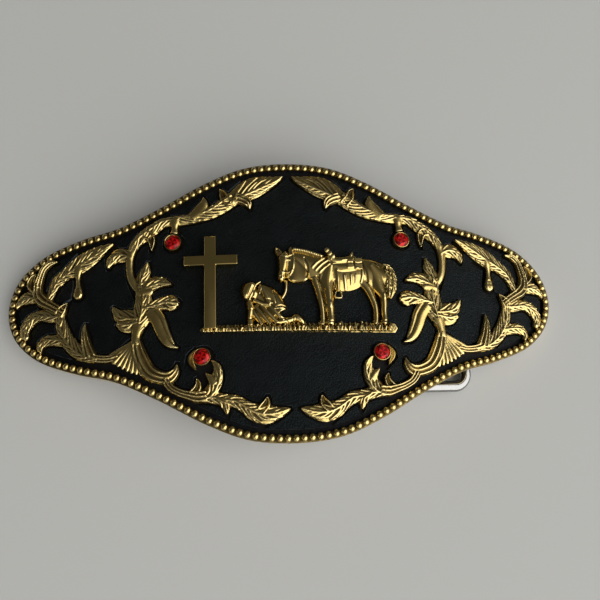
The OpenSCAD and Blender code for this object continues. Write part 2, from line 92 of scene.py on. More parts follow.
# Points of a scene casting above the first height are pressed down softly, to stay just under its top.
PRESS_FROM = 3.35
PRESS_ROOM = SCENE_TOP - 0.02 - PRESS_FROM

# Worked lines leave the foot of a casting alone, and edges sharper than this angle are rounded.
WORKED_FROM = LEATHER_TOP + 0.2
SHARP = math.radians(50)

# A quarter of the plate's edge, as shares of its half length and half width.
QUARTER = [
    (0, 1), (0.155, 0.968), (0.3, 0.852), (0.455, 0.685), (0.6, 0.552), (0.735, 0.484), (0.875, 0.378),
    (0.968, 0.21),
]

# Right scroll: x, y and half width of each leaf along its length. The word says how its face is worked, and
# the number where its midrib lies between its right edge (-1) and its left edge (1). Leaves that follow each
# other lie a little higher or lower, ends narrower than the full half width are spread less, and a share of
# the triangles is kept.
SCROLL_Y = -0.2
SCROLL_KEEP = 0.4
LEAF_LIFT = 0.06
LEAF_FULL = 0.6
SCROLL = [
    ("leaf", 0.4, [(14.2, 23.7, 1.2), (12.4, 24.9, 1.6), (10.5, 26, 2.2), (8, 27.2, 2.4), (5.5, 28.1, 1.8),
        (3, 28.9, 0.9), (1.1, 29.8, 0.06)]),
    ("leaf", -0.45, [(27.2, 19.2, 1.1), (25, 19.3, 0.95), (22.5, 19.6, 0.95), (19, 20.6, 1.2),
        (16, 22.3, 1.45), (13, 24.4, 1.5)]),
    ("leaf", 0.2, [(26, 19.2, 0.9), (29.5, 18.9, 0.95), (32, 17.4, 1.25), (34.3, 15.8, 1.2), (36, 14.1, 1),
        (37.2, 12, 0.7)]),
    ("plain", 0, [(36.4, 13.6, 0.8), (37.3, 11.4, 0.75), (37.5, 9, 0.65), (37.2, 6.2, 0.6), (36.4, 4.2, 0.6),
        (35.4, 2.2, 0.3), (35, 0.6, 0.06)]),
    ("leaf", 0, [(37.2, 10.3, 0.7), (38.4, 11.1, 1.3), (40, 11.4, 1.55), (41.3, 10.8, 1.2),
        (42.2, 9.7, 0.75), (42.5, 8.4, 0.1)]),
    ("plain", 0, [(27, 19.4, 1.3), (26.95, 18.2, 0.75), (26.95, 17, 0.5), (27.1, 15.9, 0.75)]),
    ("cup", 0, [(13.6, 22.6, 1), (15.1, 24.4, 1), (15.6, 25.8, 0.65), (16.3, 26.8, 0.08)]),
    ("ribbed", 0, [(12.6, 24.6, 1.1), (10.6, 23.9, 1.1), (9.5, 22.9, 0.8), (9.1, 21.5, 0.06)]),
    ("plain", 0, [(22.9, 19.7, 1), (21.1, 21.3, 1.35), (20.1, 23.1, 0.95), (20.2, 25, 0.06)]),
    ("cup", 0, [(34.3, 16.1, 1), (32.8, 15.6, 0.95), (32.3, 14, 0.6), (32.35, 12, 0.06)]),
    ("leaf", 0, [(35.4, -8.6, 0.7), (35.1, -6.4, 1.3), (34.4, -3.8, 2), (34, -1, 1.8), (34.1, 1.6, 1.6),
        (34.7, 4.2, 1.2)]),
    ("plain", 0, [(35, -5.6, 1.3), (35.4, -8.2, 0.8), (35.4, -10.2, 1)]),
    ("leaf", 0, [(35, 3.2, 1.3), (34.1, 5.8, 1.3), (33.5, 7.5, 0.9), (33.15, 9.1, 0.06)]),
    ("leaf", 0.3, [(35, 2.6, 1.2), (32.6, 3.6, 1.45), (30.6, 4.2, 1.2), (29, 4.05, 0.8),
        (27.6, 3.5, 0.06)]),
    ("plain", 0, [(35.2, 1.5, 0.6), (33.6, 1.9, 0.75), (32.1, 2, 0.6), (31.6, 2, 0.2)]),
    ("plain", 0, [(35.2, 0.2, 0.5), (33.6, 0.6, 0.6), (32.6, 0.6, 0.3)]),
    ("leaf", 0, [(34, -2, 1.2), (31, -1.3, 1.1), (29, -0.8, 1.4), (27.3, -0.9, 1.55), (26.4, -1.1, 1.1),
        (25.9, -1.2, 0.3)]),
    ("plain", 0, [(32.6, -2.6, 0.9), (31, -4.7, 0.95), (29.9, -7.3, 0.9), (28.7, -9.5, 0.75),
        (27.4, -10.8, 0.45), (25.8, -11.4, 0.06)]),
    ("plain", 0, [(31.2, -2, 0.5), (29.5, -4.4, 0.5), (28.5, -7, 0.45), (27.5, -9.2, 0.35),
        (26.7, -10.4, 0.08)]),
    ("leaf", -0.1, [(34.6, -4.1, 1.5), (37.5, -3.9, 1.75), (39.6, -3, 1.25), (41, -1.2, 0.08)]),
    ("leaf", 0.2, [(35, -5.4, 1.4), (37.4, -5.9, 1.2), (38.9, -5.6, 0.85), (39.9, -5.2, 0.2)]),
    ("ribbed", 0, [(35.4, -9.2, 0.9), (34.4, -13, 1.5), (32.4, -16.4, 1.5), (29.7, -17.8, 1.3),
        (27.6, -17.9, 1.3), (26.3, -16.7, 0.75), (26, -15, 0.06)]),
    ("flat", 0, [(35.4, -9.4, 0.7), (36.2, -12.2, 2.1), (37.1, -14.2, 3.1), (37.5, -15.3, 2.6)]),
    ("ribbed", 0, [(28.6, -18.3, 0.8), (27.3, -20.2, 0.7), (25.5, -21.3, 0.7), (23.5, -22, 0.8),
        (21.4, -22.5, 1.1), (19.4, -22.3, 1.1)]),
    ("cup", 0, [(22.8, -22, 0.7), (21.5, -20.8, 0.7), (21.2, -19.6, 0.5), (21.6, -18.5, 0.06)]),
    ("leaf", 0.45, [(21.2, -22.9, 0.8), (19.1, -22.1, 1.25), (17.8, -20.5, 1.25), (17.1, -18.6, 1.15),
        (16.9, -16.8, 0.8), (17.3, -15.5, 0.4), (18.1, -14.7, 0.1)]),
    ("plain", 0, [(17.5, -19.9, 0.7), (18.4, -18.6, 0.6), (19.65, -17.3, 0.06)]),
    ("leaf", 0, [(20.6, -22.9, 0.7), (18, -22.8, 1.05), (15.5, -23.4, 1.15), (13, -23.8, 1.2),
        (11, -25, 1.2), (9, -26.2, 1.65), (6.5, -26.8, 1.9), (4, -26.6, 1.2), (2.5, -26.2, 0.65),
        (1.2, -25.85, 0.06)]),
    ("cup", 0, [(7.6, -26, 0.9), (6.4, -24.6, 0.85), (6, -23, 0.06)]),
    ("leaf", 0, [(17, -23.2, 0.7), (15.6, -24, 0.85), (15.1, -25.2, 0.6), (14.85, -26.5, 0.06)]),
    ("ribbed", 0, [(39.4, -12.6, 0.6), (41.5, -13.1, 0.7), (44, -12.9, 0.75), (46, -12.3, 0.95)]),
    ("leaf", -0.2, [(44, -12.9, 0.75), (47, -12, 1.25), (49.5, -10.4, 1.4), (51.6, -8, 1.45),
        (52.8, -5.5, 1.3), (53.4, -3, 0.9), (53.6, -1, 0.9)]),
    ("ribbed", 0, [(45.8, -12.4, 1.4), (46.8, -9.8, 1.05), (47.3, -7.6, 0.75), (47.5, -5.9, 0.4),
        (47.3, -4.5, 0.06)]),
    ("leaf", 0, [(51.2, -8.4, 1.2), (54, -8, 1.05), (56.2, -7.9, 1.1), (57.7, -8.7, 0.9), (58, -9.8, 0.55),
        (57.5, -10.7, 0.1)]),
    ("leaf", -0.2, [(53.2, -2.2, 1.2), (56, -2.1, 1.25), (58.5, -1.8, 1.1), (60.8, -2.8, 1.3),
        (62, -4.6, 1.15), (62, -6.2, 0.85), (61.3, -7.2, 0.4)]),
    ("cup", 0, [(53.9, -2.2, 1), (53, -0.8, 0.9), (51.9, 0.65, 0.06)]),
    ("leaf", 0.2, [(57.6, 1.2, 1), (56.6, 2.4, 0.9), (55.8, 4.2, 0.85), (54.8, 6.2, 1.25), (52.8, 7.8, 1.3),
        (50.5, 9.3, 1.9), (48, 10.9, 1.95), (45.5, 12.4, 1.5), (43.3, 13.6, 0.7), (41.5, 14.3, 0.06)]),
    ("plain", 0, [(49.7, 9.4, 1.1), (49.8, 6.8, 0.42), (49.6, 5, 0.4), (49.5, 3.6, 0.7), (49.5, 2.6, 0.9)]),
    ("ribbed", 0, [(55.1, 11.1, 0.12), (57, 10.8, 0.6), (58.5, 9.4, 0.7), (59.2, 7.2, 0.8), (59.6, 5.2, 1),
        (59.4, 3.3, 1.2), (58.3, 1.8, 1.3), (56.4, 0.6, 1), (54.4, -0.6, 0.9), (53, -1.6, 0.8)]),
    ("cup", 0, [(59.8, 4.4, 1), (61.2, 5.9, 1.1), (61.1, 7.4, 0.65), (60.3, 8.5, 0.08)]),
    ("leaf", -0.2, [(58.8, 2.5, 1), (61.2, 2.9, 1.3), (63, 2.4, 1.1), (64.2, 1.4, 0.5), (64.4, 0.4, 0.08)]),
]
FAN_ROOT = (35.4, -9)
FAN_TIPS = [
    (33.9, -17.3), (35, -17), (36.1, -16.7), (37.2, -16.2), (38.3, -15.6), (39.4, -15), (40.5, -14.3),
    (41.2, -13.5), (41.6, -12.7),
]
FAN_RIB = [(0, 0.25), (0.45, 0.42), (0.85, 0.55), (1, 0.3)]
FAN_OVER = 0.2
KNOBS = [(49.5, 2.5, 1.2), (61.5, -6.9, 0.7)]
KNOB_OVER = 0.15
DIMPLE = [(49.5, 2.2, 0.75), (49.5, 3.6, 0.5)]
DIMPLE_HEIGHT = -0.2
STONES = {"upper": (27.2, 13.55), "lower": (20.3, -13.85)}
SIDE_LEAF = [
    (21.9, -12.4, 0.3), (22.8, -13.8, 0.75), (22.75, -15, 0.7), (22.2, -16, 0.4), (21.8, -16.8, 0.06),
]

# Worked leaves: height of the blade as a share of the midrib's. Strokes: where they start on the left (1) and
# the right (-1) and their half widths, as shares of the vein pitch, how far one leans forward for its reach,
# where it ends, the least reach that gets one, and how unevenly they follow each other. Midrib: its least
# half width, the share of the leaf's that is added, and its edge and top over the crest.
BLADE_SHARE = 0.55
STROKE_STARTS = {1: 0.2, -1: 0.7}
STROKE_WIDTHS = (0.16, 0.22, 0.1)
STROKE_LEAN = 2.0
STROKE_END = 0.88
STROKE_LEAST = 0.35
STROKE_UNEVEN = 0.25
MIDRIB_LEAST = 0.1
MIDRIB_SHARE = 0.08
MIDRIB_EDGE = -0.2
MIDRIB_TOP = 0.3

# Scene, drawn flat and scaled to its place on the leather. Post and arm of the cross: left, right, low and
# high edge. Each limb: wall height, crest height, keys. Each box of the saddle: its four edges and its top.
STRIP = [(-21.3, -7.3), (-20.2, -6.3), (24.6, -6.6), (25.3, -7.8), (24.6, -8.9), (-19.6, -8.05)]
CROSS_POST = (-20, -17.3, -7.3, 14.95)
CROSS_ARM = (-24.8, -12.25, 7.9, 10.26)
HORSE = [
    (1.9, 3.05, [(7.2, 5.8, 3.6), (9, 5.6, 4.2), (11, 5.3, 4.1), (14, 5.3, 4), (16.5, 5.9, 3.5),
        (19, 5.7, 3.5), (21.5, 4.9, 3.6), (23.6, 4.6, 2.7), (24.7, 4.6, 1.7), (25.2, 4.6, 0.5)]),
    (1.9, 3, [(9.8, 6, 4), (7, 6.9, 3.6), (4.6, 8, 3), (2.2, 9.1, 2.5), (0.4, 9.8, 1.7),
        (-0.6, 10.2, 0.6)]),
    (1.9, 3.45, [(-0.8, 10.8, 0.8), (-1.2, 9.6, 1.7), (-1.4, 8, 1.6), (-1.75, 6.3, 1.35), (-2.05, 5, 1.25),
        (-2.05, 4.2, 1.1), (-1.9, 3.5, 0.4)]),
    (1.9, 3.2, [(0.2, 9.7, 0.9), (0.8, 8.3, 2.2), (1.8, 6.3, 3), (3, 4.8, 2.4), (3.8, 3.7, 0.9)]),
    (1.9, 3, [(-1.6, 9.9, 0.9), (-2.4, 10.9, 1), (-2.9, 11.7, 0.8), (-3.1, 12.2, 0.3)]),
    (1.9, 3, [(0.5, 10.3, 0.8), (0.4, 11.2, 0.8), (0.4, 11.9, 0.55), (0.5, 12.3, 0.2)]),
    (2.2, 3.3, [(9.9, 7.6, 1.2), (9.2, 5.6, 2.1), (8.8, 3.4, 2), (9, 1.4, 1.45), (9.1, -0.6, 1.2),
        (9.2, -2.2, 1.2), (9.3, -4, 1), (9.3, -5.5, 1.05), (8.9, -6.9, 1.35)]),
    (2, 3.25, [(19.6, 7.6, 1.4), (20.8, 5.4, 2.5), (21.4, 2.6, 1.8), (22.2, 0.2, 1.15), (22.3, -1.6, 0.95),
        (22.2, -4, 0.8), (22.2, -5.6, 0.85), (21.9, -6.9, 1.05)]),
    (1.7, 2.7, [(5.9, 4.6, 1.3), (6.6, 1.8, 1), (7.1, -0.8, 0.95), (7.4, -3.4, 0.8), (7.4, -5.6, 0.8),
        (7.1, -6.9, 1)]),
    (1.7, 2.7, [(17.2, 4.2, 1.6), (18.6, 2, 1.2), (19.6, -0.4, 1), (20.2, -2.6, 0.9), (20.2, -5.4, 0.85),
        (19.9, -6.9, 1)]),
]
TAIL = [
    [(22.6, 7.8, 0.5), (24.3, 6.4, 0.9), (24.9, 4, 1), (24.7, 1.7, 0.95), (24.2, 0, 0.5), (23.9, -0.9, 0.12)],
    [(22.9, 6.4, 0.5), (23.7, 4.6, 0.9), (23.7, 2.4, 0.9), (23.6, 0.6, 0.6), (23.4, -0.6, 0.12)],
]
MANE = [(1.2, 11.55), (2.8, 11.3), (4.4, 10.9), (6, 10.35), (7.6, 9.8)]
SADDLE = [
    (2.7, 3.35, [(9.4, 9.4, 0.9), (11, 8.6, 1), (13, 8.6, 1), (15, 9, 1), (16, 9.2, 0.6)]),
    (2.7, 3.25, [(9.9, 8.2, 0.6), (11.4, 6.9, 1.6), (13.6, 6.8, 1.7), (15.6, 7, 1.5), (16.6, 7.2, 0.7)]),
    (2.7, 3.6, [(10, 8.8, 0.6), (9.6, 10, 0.6), (9.1, 11, 0.55), (8.9, 11.5, 0.45)]),
    (2.7, 3.6, [(14.4, 8.9, 0.5), (14.9, 9.9, 0.5), (15.2, 10.7, 0.3)]),
    (2.6, 3.5, [(11.2, 6.6, 0.7), (11.3, 4.6, 0.85), (11.3, 2.4, 0.6), (11.3, 0.9, 0.4)]),
    (2.2, 3.4, [(10.7, 1, 0.28), (10.5, 0, 0.3), (10.7, -0.6, 0.28)]),
    (2.2, 3.4, [(11.9, 1, 0.28), (12.1, 0, 0.3), (11.9, -0.6, 0.28)]),
    (2.2, 3.4, [(10.5, -0.5, 0.32), (11.3, -0.6, 0.34), (12.1, -0.5, 0.32)]),
]
SADDLE_BOXES = [(13.8, 15.2, 6.7, 8.8, 3.35), (15.6, 17.3, 6.3, 9.1, 3.5)]
SADDLE_KNOBS = [(9, 11.1, 0.7), (9.7, 10.3, 0.7), (10.4, 9.6, 0.6)]
FIGURE = [
    (1.7, 2.75, [(-9, 0.9, 0.7), (-7.7, 0.5, 1.6), (-6.1, -0.6, 2.2), (-4.5, -2.4, 2.1),
        (-3.3, -4.2, 1.7)]),
    (1.8, 3.3, [(-7.4, 2.3, 1), (-6.2, 1.7, 1.7), (-4.6, 0.2, 2.1), (-3, -2, 2), (-2.2, -3.6, 1.6)]),
    (1.7, 3.05, [(-9.4, -2.3, 0.6), (-8.4, -4, 0.85), (-6.8, -6.6, 0.6)]),
    (1.7, 3.15, [(-8.4, -2, 0.6), (-6.9, -4, 0.9), (-5, -6.6, 0.65)]),
    (1.7, 3.2, [(-7, -1.9, 0.7), (-5.4, -3.8, 0.95), (-3.2, -6.3, 0.7)]),
    (1.7, 3.2, [(-5.4, -1.8, 0.8), (-3.8, -3.4, 1.05), (-1.8, -5.6, 0.7)]),
    (1.7, 3, [(-9.2, -2.6, 1), (-9.6, -4.6, 0.85), (-9.4, -6.7, 0.9)]),
    (1.6, 2.7, [(-8.9, -6.6, 0.8), (-10, -6.7, 0.7), (-11, -7, 0.4)]),
    (1.6, 2.8, [(-4, -6.2, 0.95), (-1, -5.7, 1.05), (0.8, -5.3, 1)]),
    (1.6, 2.9, [(0.4, -4.6, 0.6), (1.4, -5, 1.1), (2.4, -5.9, 0.9), (2.8, -6.7, 0.5)]),
    (2.4, 3.65, [(-6.5, 1.9, 0.9), (-5.7, 0.2, 0.95), (-4.8, -1.9, 0.8)]),
    (2.2, 3.5, [(-4.8, -1.9, 0.8), (-6.4, -1.8, 0.7), (-8, -1, 0.6), (-8.7, -0.7, 0.4)]),
    (1.7, 3, [(-9.7, 0.2, 0.8), (-9.6, -1.2, 1), (-9.3, -2.8, 1.1)]),
    (1.9, 3.1, [(-8.6, 2, 0.9), (-8.4, 0.9, 1.1), (-8.6, -0.2, 0.7)]),
    (1.9, 3.4, [(-8.4, 3.3, 0.7), (-9.6, 2.4, 1.75), (-10.3, 0.8, 1.5), (-10.5, -0.4, 0.5)]),
    (2, 3.6, [(-6.9, 3.7, 0.3), (-8.1, 2.8, 0.55), (-9.1, 0.7, 0.55), (-9.9, -1.2, 0.3)]),
]
REINS = [(1.9, 2.7, [(-1, 4, 0.42), (-1, 2, 0.4), (-1.5, 0.5, 0.4), (-2.6, -1, 0.4)])]

# Raised (positive) or cut (negative) lines on a casting: height and keys.
HORSE_MARKS = [
    (0.2, [(0.7, 11.2, 0.32), (1, 8.8, 0.32), (0.6, 6.2, 0.32), (-0.5, 4.7, 0.32)]),
    (0.2, [(-2.4, 6.1, 0.3), (-1.2, 5.6, 0.3), (0.6, 6.2, 0.3)]),
    (0.18, [(-2.2, 9.9, 0.3), (-0.8, 9.6, 0.3), (0.7, 10.2, 0.3)]),
    (0.16, [(-0.9, 10.8, 0.4), (-1, 9.6, 0.35), (-0.8, 8.6, 0.1)]),
    (0.25, [(5.4, 6.9, 0.4), (6.8, 8.3, 0.42), (8.8, 9.7, 0.4)]),
    (0.25, [(7, 5.6, 0.4), (8.4, 6.9, 0.42), (10.2, 8.4, 0.4)]),
    (0.25, [(6.2, 6.2, 0.34), (7.6, 7.6, 0.36), (9.5, 9, 0.34)]),
    (-0.25, [(-2.4, 10.9, 0.4), (-2.8, 11.5, 0.35)]),
    (0.2, [(12.9, 4.8, 0.42), (13, 3.4, 0.42), (13.2, 1.4, 0.4)]),
    (0.16, [(14.5, 5, 0.3), (14.6, 2.6, 0.3)]),
    (0.16, [(15.7, 5, 0.26), (15.6, 3, 0.26)]),
    (0.2, [(17.3, 7.4, 0.35), (17.4, 5, 0.35), (16.9, 3.2, 0.3)]),
    (-0.22, [(3.6, 9.2, 0.35), (4.2, 7, 0.45), (3.9, 4.6, 0.4)]),
    (-0.16, [(6.4, 4.6, 0.4), (7.4, 2.8, 0.4), (8, 1.4, 0.35)]),
    (-0.2, [(17.6, 8.2, 0.5), (18.2, 5.6, 0.6), (18.4, 3.4, 0.5)]),
    (-0.16, [(10.6, 3.6, 0.4), (10.4, 2, 0.4)]),
    (-0.2, [(-2.5, 3.7, 0.18), (-1.6, 3.5, 0.18), (-0.9, 3.7, 0.15)]),
    (-0.25, [(-2.25, 4.7, 0.25), (-2.1, 4.4, 0.25)]),
    (0.22, [(-0.35, 8.75, 0.34), (-0.1, 8.7, 0.34)]),
    (0.14, [(9.2, -1.9, 0.7), (9.2, -2.5, 0.7)]),
    (0.16, [(22.4, 0.2, 0.6), (22.4, -0.6, 0.6)]),
    (-0.14, [(8, -6.25, 0.16), (10.2, -6.25, 0.16)]),
    (-0.14, [(21, -6.25, 0.16), (23, -6.25, 0.16)]),
]
SADDLE_MARKS = [
    (-0.14, [(10.4, 7.6, 0.16), (12, 7.75, 0.16), (14.4, 7.9, 0.16)]),
    (-0.14, [(10.9, 5.9, 0.16), (12.6, 5.5, 0.16), (15, 5.7, 0.16)]),
    (-0.2, [(15.5, 7.9, 0.2), (16.4, 7.7, 0.2), (17.4, 7.9, 0.2)]),
    (-0.16, [(13.7, 7.9, 0.18), (15.3, 7.9, 0.18)]),
    (0.14, [(15.9, 6.7, 0.2), (16.2, 6.6, 0.2)]),
    (0.12, [(12.6, 8.6, 0.3), (13.6, 8.7, 0.3)]),
]
FIGURE_MARKS = [
    (-0.16, [(-4.2, 1.2, 0.2), (-3.6, -0.4, 0.22), (-3.4, -1.8, 0.2)]),
    (-0.16, [(-5.6, -0.8, 0.18), (-4.9, -0.9, 0.2), (-4.2, -1.3, 0.18)]),
    (-0.16, [(-3.4, -2.6, 0.22), (-2.2, -2.4, 0.22), (-1.2, -2.6, 0.2)]),
    (0.14, [(-3.8, -2.9, 0.24), (-2.2, -2.9, 0.26), (-0.8, -3.3, 0.22)]),
    (-0.16, [(-10.3, -5.3, 0.18), (-8.7, -5.1, 0.18)]),
    (-0.14, [(-2.6, -5.2, 0.2), (-1.6, -5.4, 0.2), (-0.8, -6.2, 0.18)]),
    (-0.16, [(0.4, -4.4, 0.18), (0.5, -6.4, 0.18)]),
    (0.12, [(-8.9, 2.9, 0.2), (-9.5, 1.4, 0.22), (-10, -0.1, 0.2)]),
    (0.16, [(-7, 2.8, 0.2), (-6.9, 1.8, 0.22), (-7.3, 0.9, 0.2)]),
    (0.12, [(-8.9, -0.1, 0.2), (-8.75, 0.1, 0.2)]),
]

# Nickel fittings: node, piece, body and rounding.
FITTINGS = [
    ("scene_rivets", "rivet_heads", ROOT, 0.2),
    ("hinge_barrel", "barrel", ROOT, 0.2),
    ("prong", "prong_pin", ROOT, 0.15),
    ("belt_bail", "bail_wire", BAIL, 0.2),
]

# Stage, in metres, degrees and watts. Each lamp: place, size and power. The world is bright towards a window.
LAMPS = {"key": ((0.79, -0.6, 0.66), 2.0, 25), "fill": ((-0.5, -0.72, 0.35), 0.3, 0.4)}
WINDOW_WAY = (0.58, -0.62, 0.53)
CAMERA_AT = (-0.0089, -0.0355, 0.143)
CAMERA_TURN = {"X": 14.821, "Y": -4.673, "Z": -1.175}
CAMERA_LENS = 34.8
FLOOR_HALF = 3


def length(name, description, size):
    """A length property, its default in millimetres."""
    return FloatProperty(name=name, description=description, default=size * MM, unit="LENGTH",
                         subtype="DISTANCE", precision=5)


def colour(name, description, rgb):
    """A colour property."""
    return FloatVectorProperty(name=name, description=description, subtype="COLOR", size=3, default=rgb,
                               min=0, max=1)


class BuckleSizes(bpy.types.PropertyGroup):
    """Sizes a maker would change."""

    bead_size: length("Bead", "Diameter of one edge bead", 1.56)
    bead_pitch: length("Bead pitch", "Distance between bead centres", 1.77)
    leaf_rim: length("Leaf rim", "Height of a leaf edge over the plate", 1.2)
    leaf_crest: length("Leaf crest", "Height of a leaf midrib over the plate", 1.95)
    leaf_spread: length("Leaf spread", "Width added to each edge of a leaf", 0.28)
    vein_pitch: length("Vein pitch", "Distance between side veins", 1.5)
    casting_grain: length("Casting grain", "Finest detail that the scrolls hold", 0.12)
    leather_round: length("Leather edge", "Rounding of the cut leather edge", 0.2)
    stone_facets: IntProperty(name="Stone facets", description="Main facets round a stone", default=8, min=6,
                              max=12)


class BuckleColours(bpy.types.PropertyGroup):
    """Colours a maker would change."""

    gold: colour("Gold", "Polished gold plating", (0.55, 0.41, 0.145))
    gold_dark: colour("Gold recess", "Antique darkening in the hollows", (0.035, 0.024, 0.009))
    plate: colour("Plate", "Pale gold of the cast plate", (0.72, 0.6, 0.36))
    paint: colour("Paint", "Black paint under the ornament", (0.002, 0.002, 0.0022))
    leather: colour("Leather", "Black inlay leather", (0.0018, 0.002, 0.0021))
    # The cut edge is painted paler as a highlight.
    leather_edge_highlight: colour("Leather edge", "Cut edge of the leather", (0.09, 0.1, 0.11))
    stone: colour("Stone", "Red stone", (0.4, 0.0025, 0.003))
    nickel: colour("Nickel", "Bright nickel fittings", (0.32, 0.316, 0.306))
    floor: colour("Floor", "Pale floor", (0.51, 0.51, 0.486))


def sizes():
    """Sizes of this scene."""
    return bpy.context.scene.buckle_sizes


def tints():
    """Colours of this scene."""
    return bpy.context.scene.buckle_colours


# Curves and flat drawing

def blend(a, b, c, d, t):
    """Smooth step from b to c with neighbours a and d."""
    return [0.5 * (2 * q + (r - p) * t + (2 * p - 5 * q + 4 * r - s) * t * t + (3 * q - p - 3 * r + s) * t**3)
            for p, q, r, s in zip(a, b, c, d)]


def open_curve(keys, steps):
    """Smooth open curve through the keys."""
    last = len(keys) - 1
    points = [blend(keys[max(i - 1, 0)], keys[i], keys[i + 1], keys[min(i + 2, last)], s / steps)
              for i in range(last) for s in range(steps)]
    return points + [list(keys[last])]


def ring_curve(keys, steps):
    """Smooth closed curve through the keys."""
    n = len(keys)
    return [blend(keys[i - 1], keys[i], keys[(i + 1) % n], keys[(i + 2) % n], s / steps)
            for i in range(n) for s in range(steps)]


def runs_along(path):
    """Length run at each point of a path."""
    return list(accumulate((math.dist(a[:2], b[:2]) for a, b in zip(path, path[1:])), initial=0.0))


def beside(path, i, s):
    """Point beside a path, s half widths to the left of its point i."""
    a, b = path[max(i - 1, 0)], path[min(i + 1, len(path) - 1)]
    span = math.dist(a[:2], b[:2]) or 1
    x, y, w = path[i]
    return x - (b[1] - a[1]) / span * s * w, y + (b[0] - a[0]) / span * s * w


def outline():
    """Edge of the plate, clockwise, in millimetres."""
    half_l, half_w = HALF_L / MM, HALF_W / MM
    right = [(x * half_l, y * half_w) for x, y in QUARTER] + [(half_l, 0)]
    right += [(x * half_l, -y * half_w) for x, y in reversed(QUARTER[1:])]
    left = [(-x, -y) for x, y in right]
    return ring_curve(right + left, 6)


def inset_ring(ring, distance):
    """Closed clockwise curve moved inward."""
    moved = []
    for i, p in enumerate(ring):
        q = ring[(i + 1) % len(ring)]
        o = ring[i - 1]
        span = math.dist(o, q)
        moved.append((p[0] + distance * (q[1] - o[1]) / span, p[1] - distance * (q[0] - o[0]) / span))
    return moved


def at_scene(keys):
    """Scene keys moved to their place on the leather."""
    return [[SCENE_POS[0] + SCENE_SCALE * k[0], SCENE_POS[1] + SCENE_SCALE * k[1]]
            + [SCENE_SCALE * w for w in k[2:]] for k in keys]


# Solids

def corners(geom):
    """Vertices among the geometry that an operator gives back."""
    return [v for v in geom if isinstance(v, bmesh.types.BMVert)]


def lift(bm, faces, height):
    """Extrude faces straight up into a closed solid."""
    top = bmesh.ops.extrude_face_region(bm, geom=faces)["geom"]
    bmesh.ops.translate(bm, verts=corners(top), vec=(0, 0, height))
    bmesh.ops.recalc_face_normals(bm, faces=bm.faces)


def slab(bm, ring, low, high):
    """Upright slab on a closed outline."""
    lift(bm, [bm.faces.new([bm.verts.new((x, y, low)) for x, y in ring])], high - low)


def relief(bm, keys, face, steps, across, base=0.0):
    """Closed solid along the keys. face(run, s, width) gives its height, s runs from -1 to 1 across it."""
    path = open_curve(keys, steps)
    runs = runs_along(path)
    last = len(path) - 1
    made = bmesh.ops.create_grid(bm, x_segments=last, y_segments=across, size=1)["verts"]
    for v in made:
        i = round((v.co.x + 1) / 2 * last)
        s = v.co.y
        v.co = (*beside(path, i, s), face(runs[i], s, path[i][2]))
    top = list({f for v in made for f in v.link_faces})
    for v in corners(bmesh.ops.extrude_face_region(bm, geom=top)["geom"]):
        v.co.z = base


def dome(bm, x, y, radius, low, high, base=0.0):
    """Round knob with a domed top and a steep foot."""
    steep = 3
    for v in bmesh.ops.create_uvsphere(bm, u_segments=20, v_segments=12, radius=1)["verts"]:
        height = v.co.z * (high - low) + low if v.co.z > 0 else max(base, low + v.co.z * (low - base) * steep)
        v.co = (x + v.co.x * radius, y + v.co.y * radius, height)


def as_object(bm, name):
    """Object at the origin with the mesh of a bmesh."""
    mesh = bpy.data.meshes.new(name)
    bm.to_mesh(mesh)
    obj = bpy.data.objects.new(name, mesh)
    bpy.context.scene.collection.objects.link(obj)
    return obj


def worked(bm, kind, **settings):
    """Bmesh after one modifier."""
    holder = as_object(bm, "casting")
    mesh = holder.data
    step = holder.modifiers.new("step", kind)
    for key, value in settings.items():
        setattr(step, key, value)
    done = holder.evaluated_get(bpy.context.evaluated_depsgraph_get())
    bm.clear()
    bm.from_mesh(done.to_mesh())
    done.to_mesh_clear()
    bpy.data.objects.remove(holder)
    bpy.data.meshes.remove(mesh)


def soften(bm, times):
    """Rub the surface down a little."""
    for _ in range(times):
        bmesh.ops.smooth_vert(bm, verts=bm.verts, factor=0.5, use_axis_x=True, use_axis_y=True,
                              use_axis_z=True)


def fuse(bm, grain):
    """One skin from overlapping solids, as a casting has, rubbed down a little."""
    bmesh.ops.recalc_face_normals(bm, faces=bm.faces)
    worked(bm, "REMESH", mode="VOXEL", voxel_size=grain)
    soften(bm, 2)


def emboss(bm, height, keys):
    """Raise or cut a rounded line on the upper side of a casting."""
    path = [(Vector(p[:2]), p[2]) for p in open_curve(keys, 4)]
    widest = max(wide for _, wide in path)
    low = [min(p[i] for p, _ in path) - widest for i in (0, 1)]
    high = [max(p[i] for p, _ in path) + widest for i in (0, 1)]
    for v in bm.verts:
        if v.co.z < WORKED_FROM or not (low[0] < v.co.x < high[0] and low[1] < v.co.y < high[1]):
            continue
        at = v.co.xy
        near = 1.0
        for (a, wide), (b, _) in zip(path, path[1:]):
            way = at - a
            span = b - a
            t = max(0.0, min(1.0, way.dot(span) / max(span.length_squared, 1e-9)))
            near = min(near, (way - span * t).length / wide)
        v.co.z += height * (1 - near * near) ** 2


def mark_recess(bm, reach=0.07, times=14):
    """Store how far each point lies in a hollow (positive) or on a crest (negative)."""
    layer = bm.verts.layers.float.new("recess")
    bm.normal_update()
    kept = [(v.co.copy(), v.normal.copy()) for v in bm.verts]
    soften(bm, times)
    for v, (co, normal) in zip(bm.verts, kept):
        v[layer] = max(-1.0, min(1.0, (v.co - co).dot(normal) / reach))
        v.co = co


def bend(bm):
    """Flat millimetres to the arch of the plate in metres."""
    for v in bm.verts:
        x, y, z = v.co * MM
        v.co = (x, y, AXIS_Z + math.sqrt((FACE_R + z) ** 2 - x * x))


